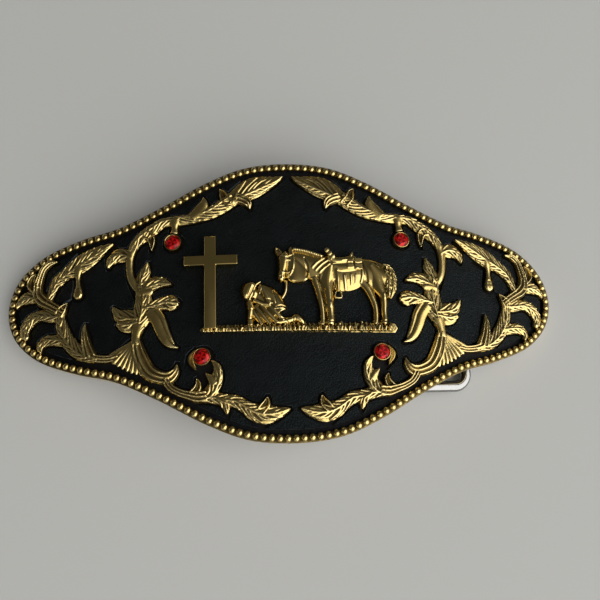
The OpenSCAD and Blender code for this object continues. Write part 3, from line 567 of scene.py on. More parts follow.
def on_face(x, y):
    """Place on the arched face, z along its normal, from millimetres to metres."""
    lean = math.asin(x * MM / FACE_R)
    return (Matrix.Translation((0, 0, AXIS_Z)) @ Matrix.Rotation(lean, 4, "Y")
            @ Matrix.Translation((0, y * MM, FACE_R)) @ Matrix.Scale(MM, 4))


def merged_copy(node):
    """Working copy of a frame node with its triangles joined."""
    bm = bmesh.new()
    bm.from_mesh(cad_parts[node].data)
    bmesh.ops.remove_doubles(bm, verts=bm.verts, dist=0.002 * MM)
    bmesh.ops.dissolve_degenerate(bm, edges=bm.edges, dist=0.001 * MM)
    return bm


def round_edges(bm, width, segments):
    """Round every sharp edge."""
    sharp = [e for e in bm.edges if e.is_manifold and e.calc_face_angle(0) > SHARP]
    bmesh.ops.bevel(bm, geom=sharp, offset=width, offset_type="OFFSET", affect="EDGES", segments=segments,
                    profile=0.5, material=-1, clamp_overlap=True)


def piece(bm, name, material, nodes, body=ROOT, smooth=35):
    """Finished piece from a bmesh, riding on its body in place of its nodes, smooth up to an angle."""
    obj = as_object(bm, name)
    bm.free()
    mesh = obj.data
    mesh.polygons.foreach_set("use_smooth", [smooth > 0] * len(mesh.polygons))
    if smooth > 0:
        mesh.set_sharp_from_angle(angle=math.radians(smooth))
    mesh.materials.append(material)
    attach(obj, body)
    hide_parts(*nodes)


# Materials

class Nodes:
    """Nodes of one material or node group."""

    def __init__(self, tree):
        self.tree = tree

    def feed(self, socket, value):
        """Link an output to a socket, or set the socket's own value."""
        if isinstance(value, bpy.types.NodeSocket):
            self.tree.links.new(value, socket)
        else:
            socket.default_value = value

    def add(self, kind, inputs, **settings):
        """Outputs of a new node with these settings and inputs, each a value or another node's output."""
        made = self.tree.nodes.new("ShaderNode" + kind)
        for key, value in settings.items():
            setattr(made, key, value)
        for key, value in inputs.items():
            self.feed(made.inputs[key], value)
        return made.outputs

    def maths(self, operation, a, b, clamp=False):
        """Result of a math node."""
        return self.add("Math", {0: a, 1: b}, operation=operation, use_clamp=clamp)[0]

    def plus(self, a, b):
        """Sum of two values."""
        return self.maths("ADD", a, b)

    def minus(self, a, b):
        """Difference of two values."""
        return self.maths("SUBTRACT", a, b)

    def times(self, a, b):
        """Product of two values."""
        return self.maths("MULTIPLY", a, b)

    def vector(self, operation, a, b):
        """Outputs of a vector math node."""
        return self.add("VectorMath", {0: a, 1: b}, operation=operation)

    def ramp(self, value, low, high, out_low=0.0, out_high=1.0):
        """Smooth step of a value between two limits."""
        limits = {"From Min": low, "From Max": high, "To Min": out_low, "To Max": out_high}
        return self.add("MapRange", {"Value": value, **limits}, interpolation_type="SMOOTHSTEP")[0]

    def mix(self, factor, a, b, kind="MIX"):
        """Mix of two colours."""
        return self.add("Mix", {0: factor, 6: a, 7: b}, data_type="RGBA", blend_type=kind)[2]

    def where(self):
        """Place on the piece."""
        return self.add("TexCoord", {})["Object"]

    def attribute(self, name):
        """Value that the piece's mesh holds."""
        return self.add("Attribute", {}, attribute_name=name)["Fac"]

    def noise(self, scale, detail=3.0, rough=0.55, stretch=None):
        """Noise over the piece."""
        place = self.where()
        if stretch:
            place = self.add("Mapping", {"Vector": place, "Scale": stretch})[0]
        inputs = {"Vector": place, "Scale": scale, "Detail": detail, "Roughness": rough}
        return self.add("TexNoise", inputs)["Fac"]

    def bump(self, height, depth, strength):
        """Normal of a fine relief, its depth in millimetres."""
        return self.add("Bump", {"Height": height, "Distance": depth * MM, "Strength": strength})[0]

    def patina(self, clean, dark, depth, polish):
        """Antique metal with its own colours."""
        inputs = {"Clean": (*clean, 1), "Dark": (*dark, 1), "Depth": depth, "Polish": polish}
        return self.add("Group", inputs, node_tree=patina_group())

    def skin(self, pits, ripple, marks):
        """Surface of cast or drawn metal."""
        return self.add("Group", {"Pits": pits, "Ripple": ripple, "Marks": marks}, node_tree=skin_group())

    def shade(self, inputs):
        """Feed the material's shader."""
        for key, value in inputs.items():
            self.feed(self.tree.nodes["Principled BSDF"].inputs[key], value)


def group(name, inputs, outputs):
    """Empty node group with named sockets: its nodes, what it is given and what it puts out."""
    tree = bpy.data.node_groups.new(name, "ShaderNodeTree")
    for label, kind, value in inputs:
        socket = tree.interface.new_socket(name=label, in_out="INPUT", socket_type="NodeSocket" + kind)
        socket.default_value = value
    for label, kind in outputs:
        tree.interface.new_socket(name=label, in_out="OUTPUT", socket_type="NodeSocket" + kind)
    return Nodes(tree), tree.nodes.new("NodeGroupInput").outputs, tree.nodes.new("NodeGroupOutput").inputs


def patina_group():
    """Antique metal: dark patina in the hollows, crests paler than the clean plating as wear and painted
    highlight, and cloudy plating.
    """
    if "Patina" in bpy.data.node_groups:
        return bpy.data.node_groups["Patina"]
    inputs = [("Clean", "Color", (1, 1, 1, 1)), ("Dark", "Color", (0, 0, 0, 1)), ("Depth", "Float", 1.0),
              ("Polish", "Float", 0.2)]
    nodes, given, out = group("Patina", inputs, [("Color", "Color"), ("Roughness", "Float")])
    recess = nodes.attribute("recess")
    spots = nodes.minus(nodes.noise(1500), 0.5)
    deep = nodes.ramp(nodes.plus(recess, nodes.times(spots, 0.5)), 0.0, 0.55)
    deep = nodes.maths("MULTIPLY", deep, given["Depth"], True)
    # Crests are mixed towards a pale gold, paler than the clean plating: partly wear, partly a painted
    # highlight.
    wear_and_highlight = nodes.times(nodes.ramp(recess, -0.1, -0.7), 0.7)
    cloud = nodes.ramp(nodes.noise(160, 4), 0.35, 0.75, 0.0, 0.35)
    dull = nodes.mix(1.0, given["Clean"], (0.72, 0.64, 0.5, 1), "MULTIPLY")
    base = nodes.mix(cloud, given["Clean"], dull)
    base = nodes.mix(wear_and_highlight, base, (0.84, 0.69, 0.34, 1))
    nodes.feed(out["Color"], nodes.mix(deep, base, given["Dark"]))
    rough = nodes.plus(given["Polish"], nodes.times(deep, 0.3))
    rough = nodes.plus(rough, nodes.times(spots, 0.16))
    nodes.feed(out["Roughness"], nodes.maths("MAXIMUM", rough, 0.05))
    return nodes.tree


def skin_group():
    """Fine surface of cast or drawn metal: pits, ripples and handling marks."""
    if "Metal Skin" in bpy.data.node_groups:
        return bpy.data.node_groups["Metal Skin"]
    inputs = [("Pits", "Float", 0.5), ("Ripple", "Float", 0.5), ("Marks", "Float", 0.3)]
    nodes, given, out = group("Metal Skin", inputs, [("Height", "Float"), ("Marks", "Float")])
    pits = nodes.times(nodes.ramp(nodes.noise(4200, 2), 0.3, 0.62), given["Pits"])
    ripple = nodes.times(nodes.noise(420, 2), given["Ripple"])
    marks = nodes.ramp(nodes.noise(900, 2, 0.6, (6, 0.35, 2)), 0.6, 0.68)
    marks = nodes.times(marks, given["Marks"])
    nodes.feed(out["Height"], nodes.minus(nodes.plus(pits, ripple), marks))
    nodes.feed(out["Marks"], marks)
    return nodes.tree


def start_material(name):
    """Empty node material and its nodes."""
    material = bpy.data.materials.new(name)
    material.use_nodes = True
    return material, Nodes(material.node_tree)


def gold_material(name, depth, polish, pits):
    """Gold plating; depth says how dark its hollows are."""
    if name in bpy.data.materials:
        return bpy.data.materials[name]
    material, nodes = start_material(name)
    aged = nodes.patina(tints().gold, tints().gold_dark, depth, polish)
    nodes.shade({
        "Base Color": aged["Color"],
        "Metallic": 1.0,
        "Roughness": aged["Roughness"],
        "Normal": nodes.bump(nodes.skin(pits, ripple=0.6, marks=0.1)["Height"], depth=0.03, strength=0.6),
    })
    return material


def antique_gold():
    """Gold of the scrolls, beads and settings."""
    return gold_material("gold with dark hollows", depth=0.9, polish=0.23, pits=0.3)


def polished_gold():
    """Gold of the figure scene."""
    return gold_material("bright gold", depth=0.7, polish=0.08, pits=0.05)


def plate_material():
    """Cast plate: black paint on its face, pale plating on the rim and back."""
    material, nodes = start_material("painted plate")
    upright = nodes.vector("MULTIPLY", nodes.where(), (1, 0, 1))[0]
    from_axis = nodes.vector("SUBTRACT", upright, (0, 0, AXIS_Z))[0]
    radius = nodes.add("VectorMath", {0: from_axis}, operation="LENGTH")["Value"]
    edge = nodes.plus(radius, nodes.times(nodes.noise(900), 0.05 * MM))
    painted = nodes.ramp(edge, FACE_R - 0.1 * MM, FACE_R - 0.03 * MM)
    aged = nodes.patina(tints().plate, tints().gold_dark, depth=0.8, polish=0.3)
    skin = nodes.skin(pits=1.0, ripple=1.0, marks=0.4)
    worn_paint = nodes.ramp(nodes.noise(700), 0.3, 0.7)
    paint = nodes.mix(worn_paint, (*tints().paint, 1), (0.004, 0.004, 0.0042, 1))
    nodes.shade({
        "Base Color": nodes.mix(painted, aged["Color"], paint),
        "Metallic": nodes.minus(1.0, painted),
        "Roughness": nodes.plus(aged["Roughness"], nodes.times(painted, 0.25)),
        "Specular IOR Level": 0.15,
        "Normal": nodes.bump(skin["Height"], depth=0.05, strength=0.8),
    })
    return material


def leather_material():
    """Black leather with a fine pebble and pores, and a painted highlight on its cut edge."""
    material, nodes = start_material("pebbled leather")
    where = nodes.where()
    drift = nodes.add("TexNoise", {"Vector": where, "Scale": 500.0, "Detail": 2.0})["Color"]
    shifted = nodes.mix(0.0006, where, drift, "ADD")
    cells = nodes.add("TexVoronoi", {"Vector": shifted, "Scale": 1700.0}, feature="DISTANCE_TO_EDGE")
    pebble = nodes.ramp(cells["Distance"], 0.0, 0.22)
    between = nodes.minus(1.0, pebble)
    crease = nodes.ramp(nodes.noise(210, 4), 0.38, 0.62)
    face = nodes.mix(crease, (*tints().leather, 1), (0.003, 0.0033, 0.0035, 1))
    face = nodes.mix(nodes.times(between, 0.6), face, (0.0012, 0.0012, 0.0012, 1))
    rough = nodes.plus(0.33, nodes.times(between, 0.25))
    height = nodes.plus(nodes.times(pebble, 0.8), nodes.times(nodes.noise(5200, 2), 0.35))
    nodes.shade({
        # The marked edge gets the painted highlight colour.
        "Base Color": nodes.mix(nodes.attribute("edge"), face, (*tints().leather_edge_highlight, 1)),
        "Roughness": nodes.plus(rough, nodes.times(crease, 0.08)),
        "Specular IOR Level": 0.15,
        "Specular Tint": (0.8, 0.98, 1, 1),
        "Normal": nodes.bump(nodes.plus(height, crease), depth=0.07, strength=0.9),
    })
    return material


def stone_material():
    """Red foil-backed stone: facets painted bright or deep as a painted reflection of the foil, under a clear
    polish.
    """
    material, nodes = start_material("foiled stone")
    # Painted sparkle: each facet is shown bright or deep red, with a little noise as painted glints.
    glint = nodes.times(nodes.minus(nodes.noise(1400, 1), 0.5), 0.5)
    lit = nodes.ramp(nodes.plus(nodes.attribute("spark"), glint), 0.1, 0.9)
    red, green, blue = tints().stone
    deep = (red * 0.25, 0.0, blue * 0.2, 1)
    bright = (min(1.0, red * 1.4), green * 3, blue * 2, 1)
    nodes.shade({
        "Base Color": nodes.mix(lit, deep, bright),
        "Metallic": 0.3,
        "Roughness": 0.14,
        "IOR": 1.6,
        "Specular IOR Level": 0.15,
        "Coat Weight": 0.18,
        "Coat Roughness": 0.02,
    })
    return material


def nickel_material():
    """Bright nickel with faint drawing marks and smudges."""
    if "bright nickel" in bpy.data.materials:
        return bpy.data.materials["bright nickel"]
    material, nodes = start_material("bright nickel")
    aged = nodes.patina(tints().nickel, (0.12, 0.115, 0.105), depth=0.7, polish=0.12)
    drawn = nodes.skin(pits=0.2, ripple=0.4, marks=0.6)
    nodes.shade({
        "Base Color": nodes.mix(0.6, aged["Color"], (*tints().nickel, 1)),
        "Metallic": 1.0,
        "Roughness": nodes.plus(aged["Roughness"], nodes.times(drawn["Marks"], 0.2)),
        "Normal": nodes.bump(drawn["Height"], depth=0.02, strength=0.6),
    })
    return material


# Faces of the castings

def leaf_face(kind, rim, crest):
    """Height over a leaf: plain and round, ribbed along its length, cupped, or flat."""
    ribs, rib_height = 3, 0.26
    lip_at, lip_width, lip_extra = 0.66, 0.28, 0.15
    flat_height = 0.2

    def plain(run, s, w):
        return rim + (crest - rim) * (1 - s * s) ** 0.5 * (0.3 + 0.7 * min(1.0, w))

    def ribbed(run, s, w):
        full = min(1.0, w / 1.1)
        rise = (crest - rim) * (1 - s * s) ** 0.7 * (0.35 + 0.65 * full)
        return rim + rise + rib_height * full * math.cos(s * math.pi * ribs) * (1 - abs(s) ** 8)

    def cup(run, s, w):
        full = min(1.0, w / 1.2)
        lip = (crest - rim + lip_extra) * math.exp(-((abs(s) - lip_at) / lip_width) ** 2)
        return rim + lip * (0.4 + 0.6 * full) + 0.3 * (1 - full) * (1 - s * s)

    def flat(run, s, w):
        return rim + flat_height

    return {"plain": plain, "ribbed": ribbed, "cup": cup, "flat": flat}[kind]


def stroke_face(rim, crest, long):
    """Half-round height of a stroke that sinks towards its end."""
    return lambda run, s, w: rim + (crest - rim) * (1.0 - 0.35 * run / long) * math.sqrt(1 - s * s)


def limb_face(wall, crest):
    """Half-round height of a limb."""
    return lambda run, s, w: wall + (crest - wall) * max(0.0, 1 - s * s) ** 0.85 * min(1.0, 0.35 + w / 1.8)


def lobed_leaf(bm, keys, rib, rim, crest, pitch, base=0.0):
    """Acanthus leaf: a low blade, strokes leaning forward on both sides and a midrib over them."""
    blade = leaf_face("plain", rim, rim + BLADE_SHARE * (crest - rim))
    relief(bm, keys, blade, steps=8, across=10, base=base)
    path = open_curve(keys, 8)
    runs = runs_along(path)

    def nearest(run):
        return min(range(len(runs)), key=lambda k: abs(runs[k] - run))

    def spot(run, s, wide):
        return *beside(path, nearest(run), s), wide

    root, middle, tip = (share * pitch for share in STROKE_WIDTHS)
    for side, start in STROKE_STARTS.items():
        room = 1 - side * rib
        run = start * pitch
        while run < runs[-1]:
            reach = path[nearest(run)][2] * room
            if reach > STROKE_LEAST:
                stroke = [spot(run, rib + side * 0.05, root),
                          spot(run + STROKE_LEAN / 2 * reach, rib + side * 0.5 * room, middle),
                          spot(run + STROKE_LEAN * reach + 0.3, side * STROKE_END, tip)]
                long = math.dist(stroke[0][:2], stroke[2][:2])
                relief(bm, stroke, stroke_face(rim, crest, long), steps=3, across=6, base=base)
            run += pitch * (1 + STROKE_UNEVEN * math.sin(2.4 * run))
    midrib = [spot(run, rib, MIDRIB_LEAST + MIDRIB_SHARE * path[nearest(run)][2])
              for run in runs[::4] + runs[-1:]]
    face = leaf_face("plain", crest + MIDRIB_EDGE, crest + MIDRIB_TOP)
    relief(bm, midrib, face, steps=3, across=6, base=base)


def limbs(bm, parts, base=LEATHER_TOP):
    """Half-round limbs of a figure."""
    for wall, crest, keys in parts:
        relief(bm, at_scene(keys), limb_face(wall, crest), steps=6, across=16, base=base)


def casting(bm, marks, name, node):
    """Fused gold casting with its worked lines, in place of a scene node."""
    fuse(bm, SCENE_GRAIN)
    for height, keys in marks:
        emboss(bm, height, at_scene(keys))
    soften(bm, 1)
    for v in bm.verts:
        over = v.co.z - PRESS_FROM
        if over > 0:
            v.co.z = PRESS_FROM + PRESS_ROOM * (1 - math.exp(-over / PRESS_ROOM))
    mark_recess(bm)
    bend(bm)
    piece(bm, name, polished_gold(), [node], smooth=180)


def scroll_mesh():
    """Right scroll, flat in millimetres."""
    bm = bmesh.new()
    rim, crest, pitch = (v / MM for v in (sizes().leaf_rim, sizes().leaf_crest, sizes().vein_pitch))
    spread = sizes().leaf_spread / MM
    for i, (kind, rib, keys) in enumerate(SCROLL):
        lifted = LEAF_LIFT * (i % 3)
        keys = [(x, y + SCROLL_Y, w + spread * min(1.0, w / LEAF_FULL)) for x, y, w in keys]
        if kind == "leaf":
            lobed_leaf(bm, keys, rib, rim + lifted, crest + lifted, pitch)
        else:
            relief(bm, keys, leaf_face(kind, rim + lifted, crest + lifted), steps=10, across=16)
    root_x, root_y = FAN_ROOT
    for x, y in FAN_TIPS:
        keys = [(root_x + (x - root_x) * t, root_y + (y - root_y) * t + SCROLL_Y, w) for t, w in FAN_RIB]
        relief(bm, keys, leaf_face("plain", rim, crest + FAN_OVER), steps=6, across=10)
    for x, y, r in KNOBS:
        dome(bm, x, y + SCROLL_Y, r, rim, crest + KNOB_OVER)
    fuse(bm, sizes().casting_grain / MM)
    emboss(bm, DIMPLE_HEIGHT, DIMPLE)
    return bm


# Pieces

class BUCKLE_OT_plate(bpy.types.Operator):
    """Cast plate with rounded edges"""

    bl_idname = "buckle.plate"
    bl_label = "Base plate"

    def execute(self, context):
        bm = merged_copy("base_plate")
        round_edges(bm, 0.25 * MM, segments=3)
        piece(bm, "base_plate_cast", plate_material(), ["base_plate"], smooth=12)
        return {"FINISHED"}


class BUCKLE_OT_beads(bpy.types.Operator):
    """Bead row on its rail"""

    bl_idname = "buckle.beads"
    bl_label = "Beaded edge"

    rail_w = 1.62
    rail_h = 0.8
    lip = 0.3
    lip_tone = 0.42
    rail_tone = 0.9
    # Bead tones: the tops are capped at crest_tone, lighter as wear and painted highlight, and the sides
    # darken below shade_from over shade_depth as painted shade.
    crest_tone = -0.35
    shade_from = 0.35
    shade_depth = 0.6
    bead_breadth = 1.12

    def rail(self, bm, ring, mark):
        """Flat rail with a lighter outer lip."""
        face = bm.faces.new([bm.verts.new((x, y, 0)) for x, y in ring])
        face.normal_update()
        for thick in (self.lip, self.lip, self.rail_w - 2 * self.lip):
            bmesh.ops.inset_region(bm, faces=[face], thickness=thick, use_boundary=True, use_even_offset=True)
        bmesh.ops.delete(bm, geom=[face], context="FACES")
        lift(bm, bm.faces[:], self.rail_h)
        round_edges(bm, 0.15, segments=2)
        for v in bm.verts:
            inward = min(math.hypot(v.co.x - x, v.co.y - y) for x, y in ring)
            v[mark] = self.lip_tone if inward < 1.5 * self.lip else self.rail_tone

    def execute(self, context):
        bead = sizes().bead_size / MM
        ring = outline()
        bm = bmesh.new()
        mark = bm.verts.layers.float.new("recess")
        self.rail(bm, ring, mark)
        line = inset_ring(ring, self.lip + bead / 2)
        line.append(line[0])
        runs = runs_along(line)
        count = math.floor(runs[-1] / (sizes().bead_pitch / MM))
        i = 0
        for k in range(count):
            at = (k + 0.5) * runs[-1] / count
            while runs[i + 1] < at:
                i += 1
            (ax, ay), (bx, by) = line[i:i + 2]
            t = (at - runs[i]) / (runs[i + 1] - runs[i])
            place = (Matrix.Translation((ax + (bx - ax) * t, ay + (by - ay) * t, self.rail_h))
                     @ Matrix.Rotation(math.atan2(by - ay, bx - ax), 4, "Z")
                     @ Matrix.Diagonal((1, self.bead_breadth, 1, 1)))
            ball = bmesh.ops.create_uvsphere(bm, u_segments=12, v_segments=8, radius=bead / 2, matrix=place)
            for v in ball["verts"]:
                # Painted shade on each bead's sides by its height under the top, with the lighter painted
                # highlight and wear on top.
                side_shade_and_wear = (self.rail_h + self.shade_from - v.co.z) / self.shade_depth
                v[mark] = max(self.crest_tone, min(1.0, side_shade_and_wear))
        bend(bm)
        piece(bm, "bead_row", antique_gold(), ["beaded_edge"])
        return {"FINISHED"}


class BUCKLE_OT_leather(bpy.types.Operator):
    """Leather inlay with rounded cut edges"""

    bl_idname = "buckle.leather"
    bl_label = "Leather inlay"

    def execute(self, context):
        bm = merged_copy("leather_inlay")
        round_edges(bm, sizes().leather_round, segments=2)
        # Faces that turn away from the face of the plate are marked for the painted edge highlight.
        mark = bm.verts.layers.float.new("edge")
        bm.normal_update()
        for v in bm.verts:
            up = Vector((v.co.x, 0, v.co.z - AXIS_Z)).normalized()
            v[mark] = 1.0 if v.normal.dot(up) < 0.9 else 0.0
        piece(bm, "leather_sheet", leather_material(), ["leather_inlay"], smooth=12)
        return {"FINISHED"}


class BUCKLE_OT_scrolls(bpy.types.Operator):
    """Left and right acanthus scrolls"""

    bl_idname = "buckle.scrolls"
    bl_label = "Scrolls"

    def execute(self, context):
        right = scroll_mesh()
        mark_recess(right)
        worked(right, "DECIMATE", ratio=SCROLL_KEEP)
        left = right.copy()
        bmesh.ops.scale(left, verts=left.verts, vec=(-1, 1, 1))
        bmesh.ops.reverse_faces(left, faces=left.faces)
        for bm, side in ((right, "right"), (left, "left")):
            bend(bm)
            piece(bm, "acanthus_" + side, antique_gold(), ["scroll_" + side], smooth=180)
        return {"FINISHED"}


class BUCKLE_OT_stones(bpy.types.Operator):
    """Cut stones in their settings"""

    bl_idname = "buckle.stones"
    bl_label = "Stones"

    radius = 1.75
    blank = 1.2
    girdle = 0.4
    table = 0.98
    top = 0.95
    rim_cut = 0.02
    main_rise = 0.06
    # The lower facets are steeper than the main ones and the upper ones flatter, in radians.
    lower_lean = 0.16
    upper_lean = 0.28
    # Half section of the cup, from its foot over the rim to the middle of the seat.
    seat = 1.2
    cup_line = ((2.05, -0.02), (2.05, 1.3), (2.02, 1.58), (1.94, 1.74), (1.86, 1.76), (1.79, 1.7),
                (1.78, 1.5), (1.8, seat), (0.02, seat))
    side_leaf_drop = 0.2

    def cut(self):
        """Round stone ground facet by facet, from its girdle to its table."""
        bm = bmesh.new()
        bmesh.ops.create_cone(bm, cap_ends=True, segments=48, radius1=self.radius, radius2=self.radius,
                              depth=self.blank, matrix=Matrix.Translation((0, 0, self.blank / 2)))
        n = sizes().stone_facets
        edge = self.radius - self.rim_cut
        steep = math.atan2(self.radius - self.table, self.top - self.girdle)
        cuts = [(2 * n, 0.5, edge, self.girdle, steep - self.lower_lean),
                (n, 0.0, edge, self.girdle + self.main_rise, steep),
                (n, 0.5, self.table, self.top, steep + self.upper_lean)]
        for count, turn, r, z, lean in cuts:
            for k in range(count):
                a = 2 * math.pi * (k + turn) / count
                plane = Vector((math.cos(a) * math.cos(lean), math.sin(a) * math.cos(lean), math.sin(lean)))
                self.grind(bm, Vector((r * math.cos(a), r * math.sin(a), z)), plane)
        self.grind(bm, Vector((0, 0, self.top)), Vector((0, 0, 1)))
        bmesh.ops.poke(bm, faces=[f for f in bm.faces if f.normal.z > 0.999])
        # Facets alternate bright and dark round the stone: a painted reflection of the foil.
        mark = bm.faces.layers.float.new("spark")
        for f in bm.faces:
            c = f.calc_center_median()
            f[mark] = 0.5 + 0.5 * math.cos(math.atan2(c.y, c.x) * n / 2 * 3 + c.length * 5)
        return bm

    @staticmethod
    def grind(bm, at, normal):
        """Cut away everything beyond a plane and close the facet."""
        geom = bm.verts[:] + bm.edges[:] + bm.faces[:]
        cut = bmesh.ops.bisect_plane(bm, geom=geom, plane_co=at, plane_no=normal, dist=1e-5, clear_outer=True)
        edges = [e for e in cut["geom_cut"] if isinstance(e, bmesh.types.BMEdge)]
        if len(edges) > 2:
            bmesh.ops.contextual_create(bm, geom=edges)
        bm.normal_update()

    def cup(self):
        """Thin cup with a rim rolled over the stone."""
        bm = bmesh.new()
        verts = [bm.verts.new((r, 0, z)) for r, z in self.cup_line]
        edges = [bm.edges.new(pair) for pair in zip(verts, verts[1:])]
        bmesh.ops.spin(bm, geom=verts + edges, axis=(0, 0, 1), cent=(0, 0, 0), angle=2 * math.pi, steps=40,
                       use_merge=True)
        bmesh.ops.remove_doubles(bm, verts=bm.verts, dist=0.001)
        bmesh.ops.holes_fill(bm, edges=bm.edges, sides=0)
        bmesh.ops.recalc_face_normals(bm, faces=bm.faces)
        return bm

    def add_leaf(self, bm, sign):
        """Small leaf beside a lower cup, on the right (1) or the left (-1)."""
        leaf = bmesh.new()
        face = leaf_face("ribbed", sizes().leaf_rim / MM, sizes().leaf_crest / MM - self.side_leaf_drop)
        relief(leaf, SIDE_LEAF, face, steps=8, across=14)
        bmesh.ops.scale(leaf, verts=leaf.verts, vec=(sign, 1, 1))
        bmesh.ops.recalc_face_normals(leaf, faces=leaf.faces)
        bend(leaf)
        mesh = bpy.data.meshes.new("side_leaf")
        leaf.to_mesh(mesh)
        leaf.free()
        bm.from_mesh(mesh)
        bpy.data.meshes.remove(mesh)

    def execute(self, context):
        shine = stone_material()
        for level, (x, y) in STONES.items():
            for side, sign in (("right", 1), ("left", -1)):
                name = level + "_" + side
                place = on_face(sign * x, y)
                bm = self.cut()
                bmesh.ops.translate(bm, verts=bm.verts, vec=(0, 0, self.seat))
                bmesh.ops.transform(bm, matrix=place, verts=bm.verts)
                piece(bm, "cut_stone_" + name, shine, ["stone_" + name], smooth=0)
                bm = self.cup()
                bmesh.ops.transform(bm, matrix=place, verts=bm.verts)
                if level == "lower":
                    self.add_leaf(bm, sign)
                piece(bm, "stone_cup_" + name, antique_gold(), ["stone_setting_" + name])
        return {"FINISHED"}


class BUCKLE_OT_cross(bpy.types.Operator):
    """Plain cross with rounded edges"""

    bl_idname = "buckle.cross"
    bl_label = "Cross"

    def execute(self, context):
        left, right, foot, head = CROSS_POST
        out, far, low, high = CROSS_ARM
        ring = [(left, foot), (right, foot), (right, low), (far, low), (far, high), (right, high),
                (right, head), (left, head), (left, high), (out, high), (out, low), (left, low)]
        bm = bmesh.new()
        slab(bm, at_scene(ring), LEATHER_TOP, SCENE_TOP)
        round_edges(bm, 0.2, segments=3)
        bmesh.ops.triangulate(bm, faces=[f for f in bm.faces if len(f.verts) > 4])
        bend(bm)
        piece(bm, "cross_plain", polished_gold(), ["cross"], smooth=15)
        return {"FINISHED"}


class BUCKLE_OT_ground(bpy.types.Operator):
    """Ground strip with standing grass"""

    bl_idname = "buckle.ground"
    bl_label = "Ground strip"

    first = -20.2
    last = 24.7
    strip_top = 1.8
    root_left = -7.95
    root_drop = 0.7
    breadth = 45
    # Each row of blades: where its tips end and how far apart they stand. Each blade: half widths from root
    # to tip, middle over its root, height of its wall, what the second row adds, and ridge over the wall.
    rows = ((-6.3, 1.0), (-7.1, 0.85))
    half_widths = (0.36, 0.42, 0.3)
    waist = 0.8
    wall = 2.0
    row_rise = 0.3
    ridge = 1.1

    @staticmethod
    def chance(k, row):
        """Three numbers between 0 and 1 that look random and are the same in every run."""
        return [math.sin((k * 3 + i) * 12.9898 + row) * 43758.5453 % 1 for i in range(3)]

    def execute(self, context):
        bm = bmesh.new()
        slab(bm, at_scene(STRIP), LEATHER_TOP, self.strip_top)
        low, middle, tip = self.half_widths
        for row, (reach, gap) in enumerate(self.rows):
            x = self.first
            k = 0
            while x < self.last:
                stout, side, sparse = self.chance(k, row)
                sway = side - 0.5
                root = self.root_left - self.root_drop * (x - self.first) / self.breadth
                keys = [(x, root, low + 0.1 * stout), (x + 0.4 * sway, root + self.waist, middle),
                        (x + 1.2 * sway, reach - 0.5 * (sparse - 0.3), tip)]
                wall = self.wall + self.row_rise * row + 0.4 * stout
                face = limb_face(wall, wall + self.ridge)
                relief(bm, at_scene(keys), face, steps=4, across=6, base=LEATHER_TOP)
                x += gap * (0.7 + 0.6 * sparse)
                k += 1
        casting(bm, [], "grass_strip", "ground_strip")
        return {"FINISHED"}


class BUCKLE_OT_horse(bpy.types.Operator):
    """Standing horse with its saddle and reins"""

    bl_idname = "buckle.horse"
    bl_label = "Horse"

    def execute(self, context):
        bm = bmesh.new()
        limbs(bm, HORSE)
        for keys in TAIL:
            lobed_leaf(bm, at_scene(keys), rib=0, rim=2.3, crest=3.2, pitch=0.9, base=LEATHER_TOP)
        for x, y in at_scene(open_curve(MANE, 4)):
            dome(bm, x, y, radius=0.42, low=2.6, high=3.15, base=LEATHER_TOP)
        casting(bm, HORSE_MARKS, "horse_cast", "horse")
        bm = bmesh.new()
        limbs(bm, SADDLE, SADDLE_FOOT)
        for left, right, low, high, top in SADDLE_BOXES:
            ring = [(left, low), (right, low), (right, high), (left, high)]
            slab(bm, at_scene(ring), SADDLE_FOOT, top)
        for x, y, r in at_scene(SADDLE_KNOBS):
            dome(bm, x, y, r, low=3, high=3.6, base=SADDLE_FOOT)
        casting(bm, SADDLE_MARKS, "saddle_cast", "saddle")
        bm = bmesh.new()
        limbs(bm, REINS)
        casting(bm, [], "reins_cast", "reins")
        return {"FINISHED"}


class BUCKLE_OT_figure(bpy.types.Operator):
    """Kneeling figure"""

    bl_idname = "buckle.figure"
    bl_label = "Kneeling figure"

    def execute(self, context):
        bm = bmesh.new()
        limbs(bm, FIGURE)
        casting(bm, FIGURE_MARKS, "figure_cast", "kneeling_figure")
        return {"FINISHED"}


class BUCKLE_OT_fittings(bpy.types.Operator):
    """Nickel fittings on the back: rivets, hinge barrel, bail and prong"""

    bl_idname = "buckle.fittings"
    bl_label = "Fittings"

    def execute(self, context):
        for node, name, body, width in FITTINGS:
            bm = merged_copy(node)
            round_edges(bm, width * MM, segments=3)
            piece(bm, name, nickel_material(), [node], body)
        return {"FINISHED"}


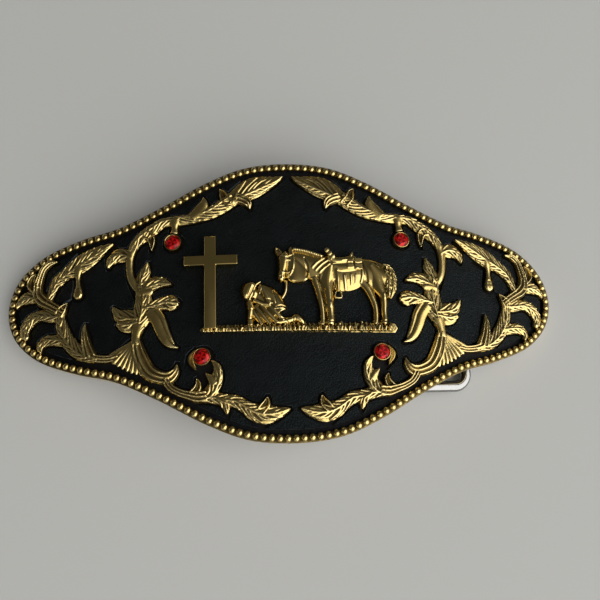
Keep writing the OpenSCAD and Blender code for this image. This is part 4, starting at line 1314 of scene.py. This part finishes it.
class BUCKLE_OT_stage(bpy.types.Operator):
    """Pale floor, studio light and camera"""

    bl_idname = "buckle.stage"
    bl_label = "Stage"

    def execute(self, context):
        scene = context.scene
        scene.view_settings.view_transform = "Standard"
        self.floor(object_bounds()[0][2])
        for name, (at, size, watts) in LAMPS.items():
            lamp = self.holder(bpy.data.lights.new(name, "AREA"))
            lamp.data.size = size
            lamp.data.energy = watts
            lamp.location = at
            lamp.rotation_euler = (-Vector(at)).to_track_quat("-Z", "Y").to_euler()
        scene.world = self.studio()
        scene.camera = self.holder(bpy.data.cameras.new("camera"))
        scene.camera.data.lens = CAMERA_LENS
        scene.camera.data.sensor_width = 36
        scene.camera.data.clip_start = 0.001
        place = Matrix.Translation(CAMERA_AT)
        for axis, angle in CAMERA_TURN.items():
            place = place @ Matrix.Rotation(math.radians(angle), 4, axis)
        scene.camera.matrix_world = place
        return {"FINISHED"}

    @staticmethod
    def holder(data):
        """Object for a lamp or a camera."""
        obj = bpy.data.objects.new(data.name, data)
        bpy.context.scene.collection.objects.link(obj)
        return obj

    @staticmethod
    def floor(height):
        """Wide pale floor."""
        bm = bmesh.new()
        bmesh.ops.create_grid(bm, x_segments=1, y_segments=1, size=FLOOR_HALF)
        floor = as_object(bm, "floor")
        bm.free()
        floor.location.z = height
        material, nodes = start_material("pale_floor")
        nodes.shade({"Base Color": (*tints().floor, 1), "Roughness": 0.9})
        floor.data.materials.append(material)
        floor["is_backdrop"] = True

    @staticmethod
    def studio():
        """World that is bright towards a window and dim elsewhere."""
        world = bpy.data.worlds.new("studio")
        world.use_nodes = True
        nodes = Nodes(world.node_tree)
        way = nodes.add("TexCoord", {})["Generated"]
        facing = nodes.vector("DOT_PRODUCT", way, WINDOW_WAY)["Value"]
        sky = world.node_tree.nodes["Background"].inputs
        nodes.feed(sky["Color"], (1, 0.99, 0.97, 1))
        nodes.feed(sky["Strength"], nodes.ramp(facing, 0.2, 0.97, 0.09, 0.7))
        return world


class BUCKLE_PT_panel(bpy.types.Panel):
    """Sizes, colours and pieces of the buckle"""

    bl_idname = "BUCKLE_PT_panel"
    bl_label = "Show buckle"
    bl_space_type = "VIEW_3D"
    bl_region_type = "UI"
    bl_category = "Buckle"

    def draw(self, context):
        column = self.layout.column()
        for settings in (sizes(), tints()):
            for key in settings.__annotations__:
                column.prop(settings, key)
        for operator in OPERATORS:
            column.operator(operator.bl_idname)


OPERATORS = (
    BUCKLE_OT_plate, BUCKLE_OT_beads, BUCKLE_OT_leather, BUCKLE_OT_scrolls, BUCKLE_OT_stones, BUCKLE_OT_cross,
    BUCKLE_OT_ground, BUCKLE_OT_horse, BUCKLE_OT_figure, BUCKLE_OT_fittings, BUCKLE_OT_stage)
CLASSES = (BuckleSizes, BuckleColours, *OPERATORS, BUCKLE_PT_panel)


def register():
    """Add the classes and the settings of a scene."""
    for made in CLASSES:
        bpy.utils.register_class(made)
    bpy.types.Scene.buckle_sizes = PointerProperty(type=BuckleSizes)
    bpy.types.Scene.buckle_colours = PointerProperty(type=BuckleColours)


def unregister():
    """Take the classes and settings away again."""
    del bpy.types.Scene.buckle_colours
    del bpy.types.Scene.buckle_sizes
    for made in reversed(CLASSES):
        bpy.utils.unregister_class(made)


def main():
    """Build every piece in order."""
    register()
    bpy.ops.buckle.stage()
    bpy.ops.buckle.plate()
    bpy.ops.buckle.beads()
    bpy.ops.buckle.leather()
    bpy.ops.buckle.scrolls()
    bpy.ops.buckle.stones()
    bpy.ops.buckle.cross()
    bpy.ops.buckle.ground()
    bpy.ops.buckle.horse()
    bpy.ops.buckle.figure()
    bpy.ops.buckle.fittings()


if __name__ == "__main__":
    main()
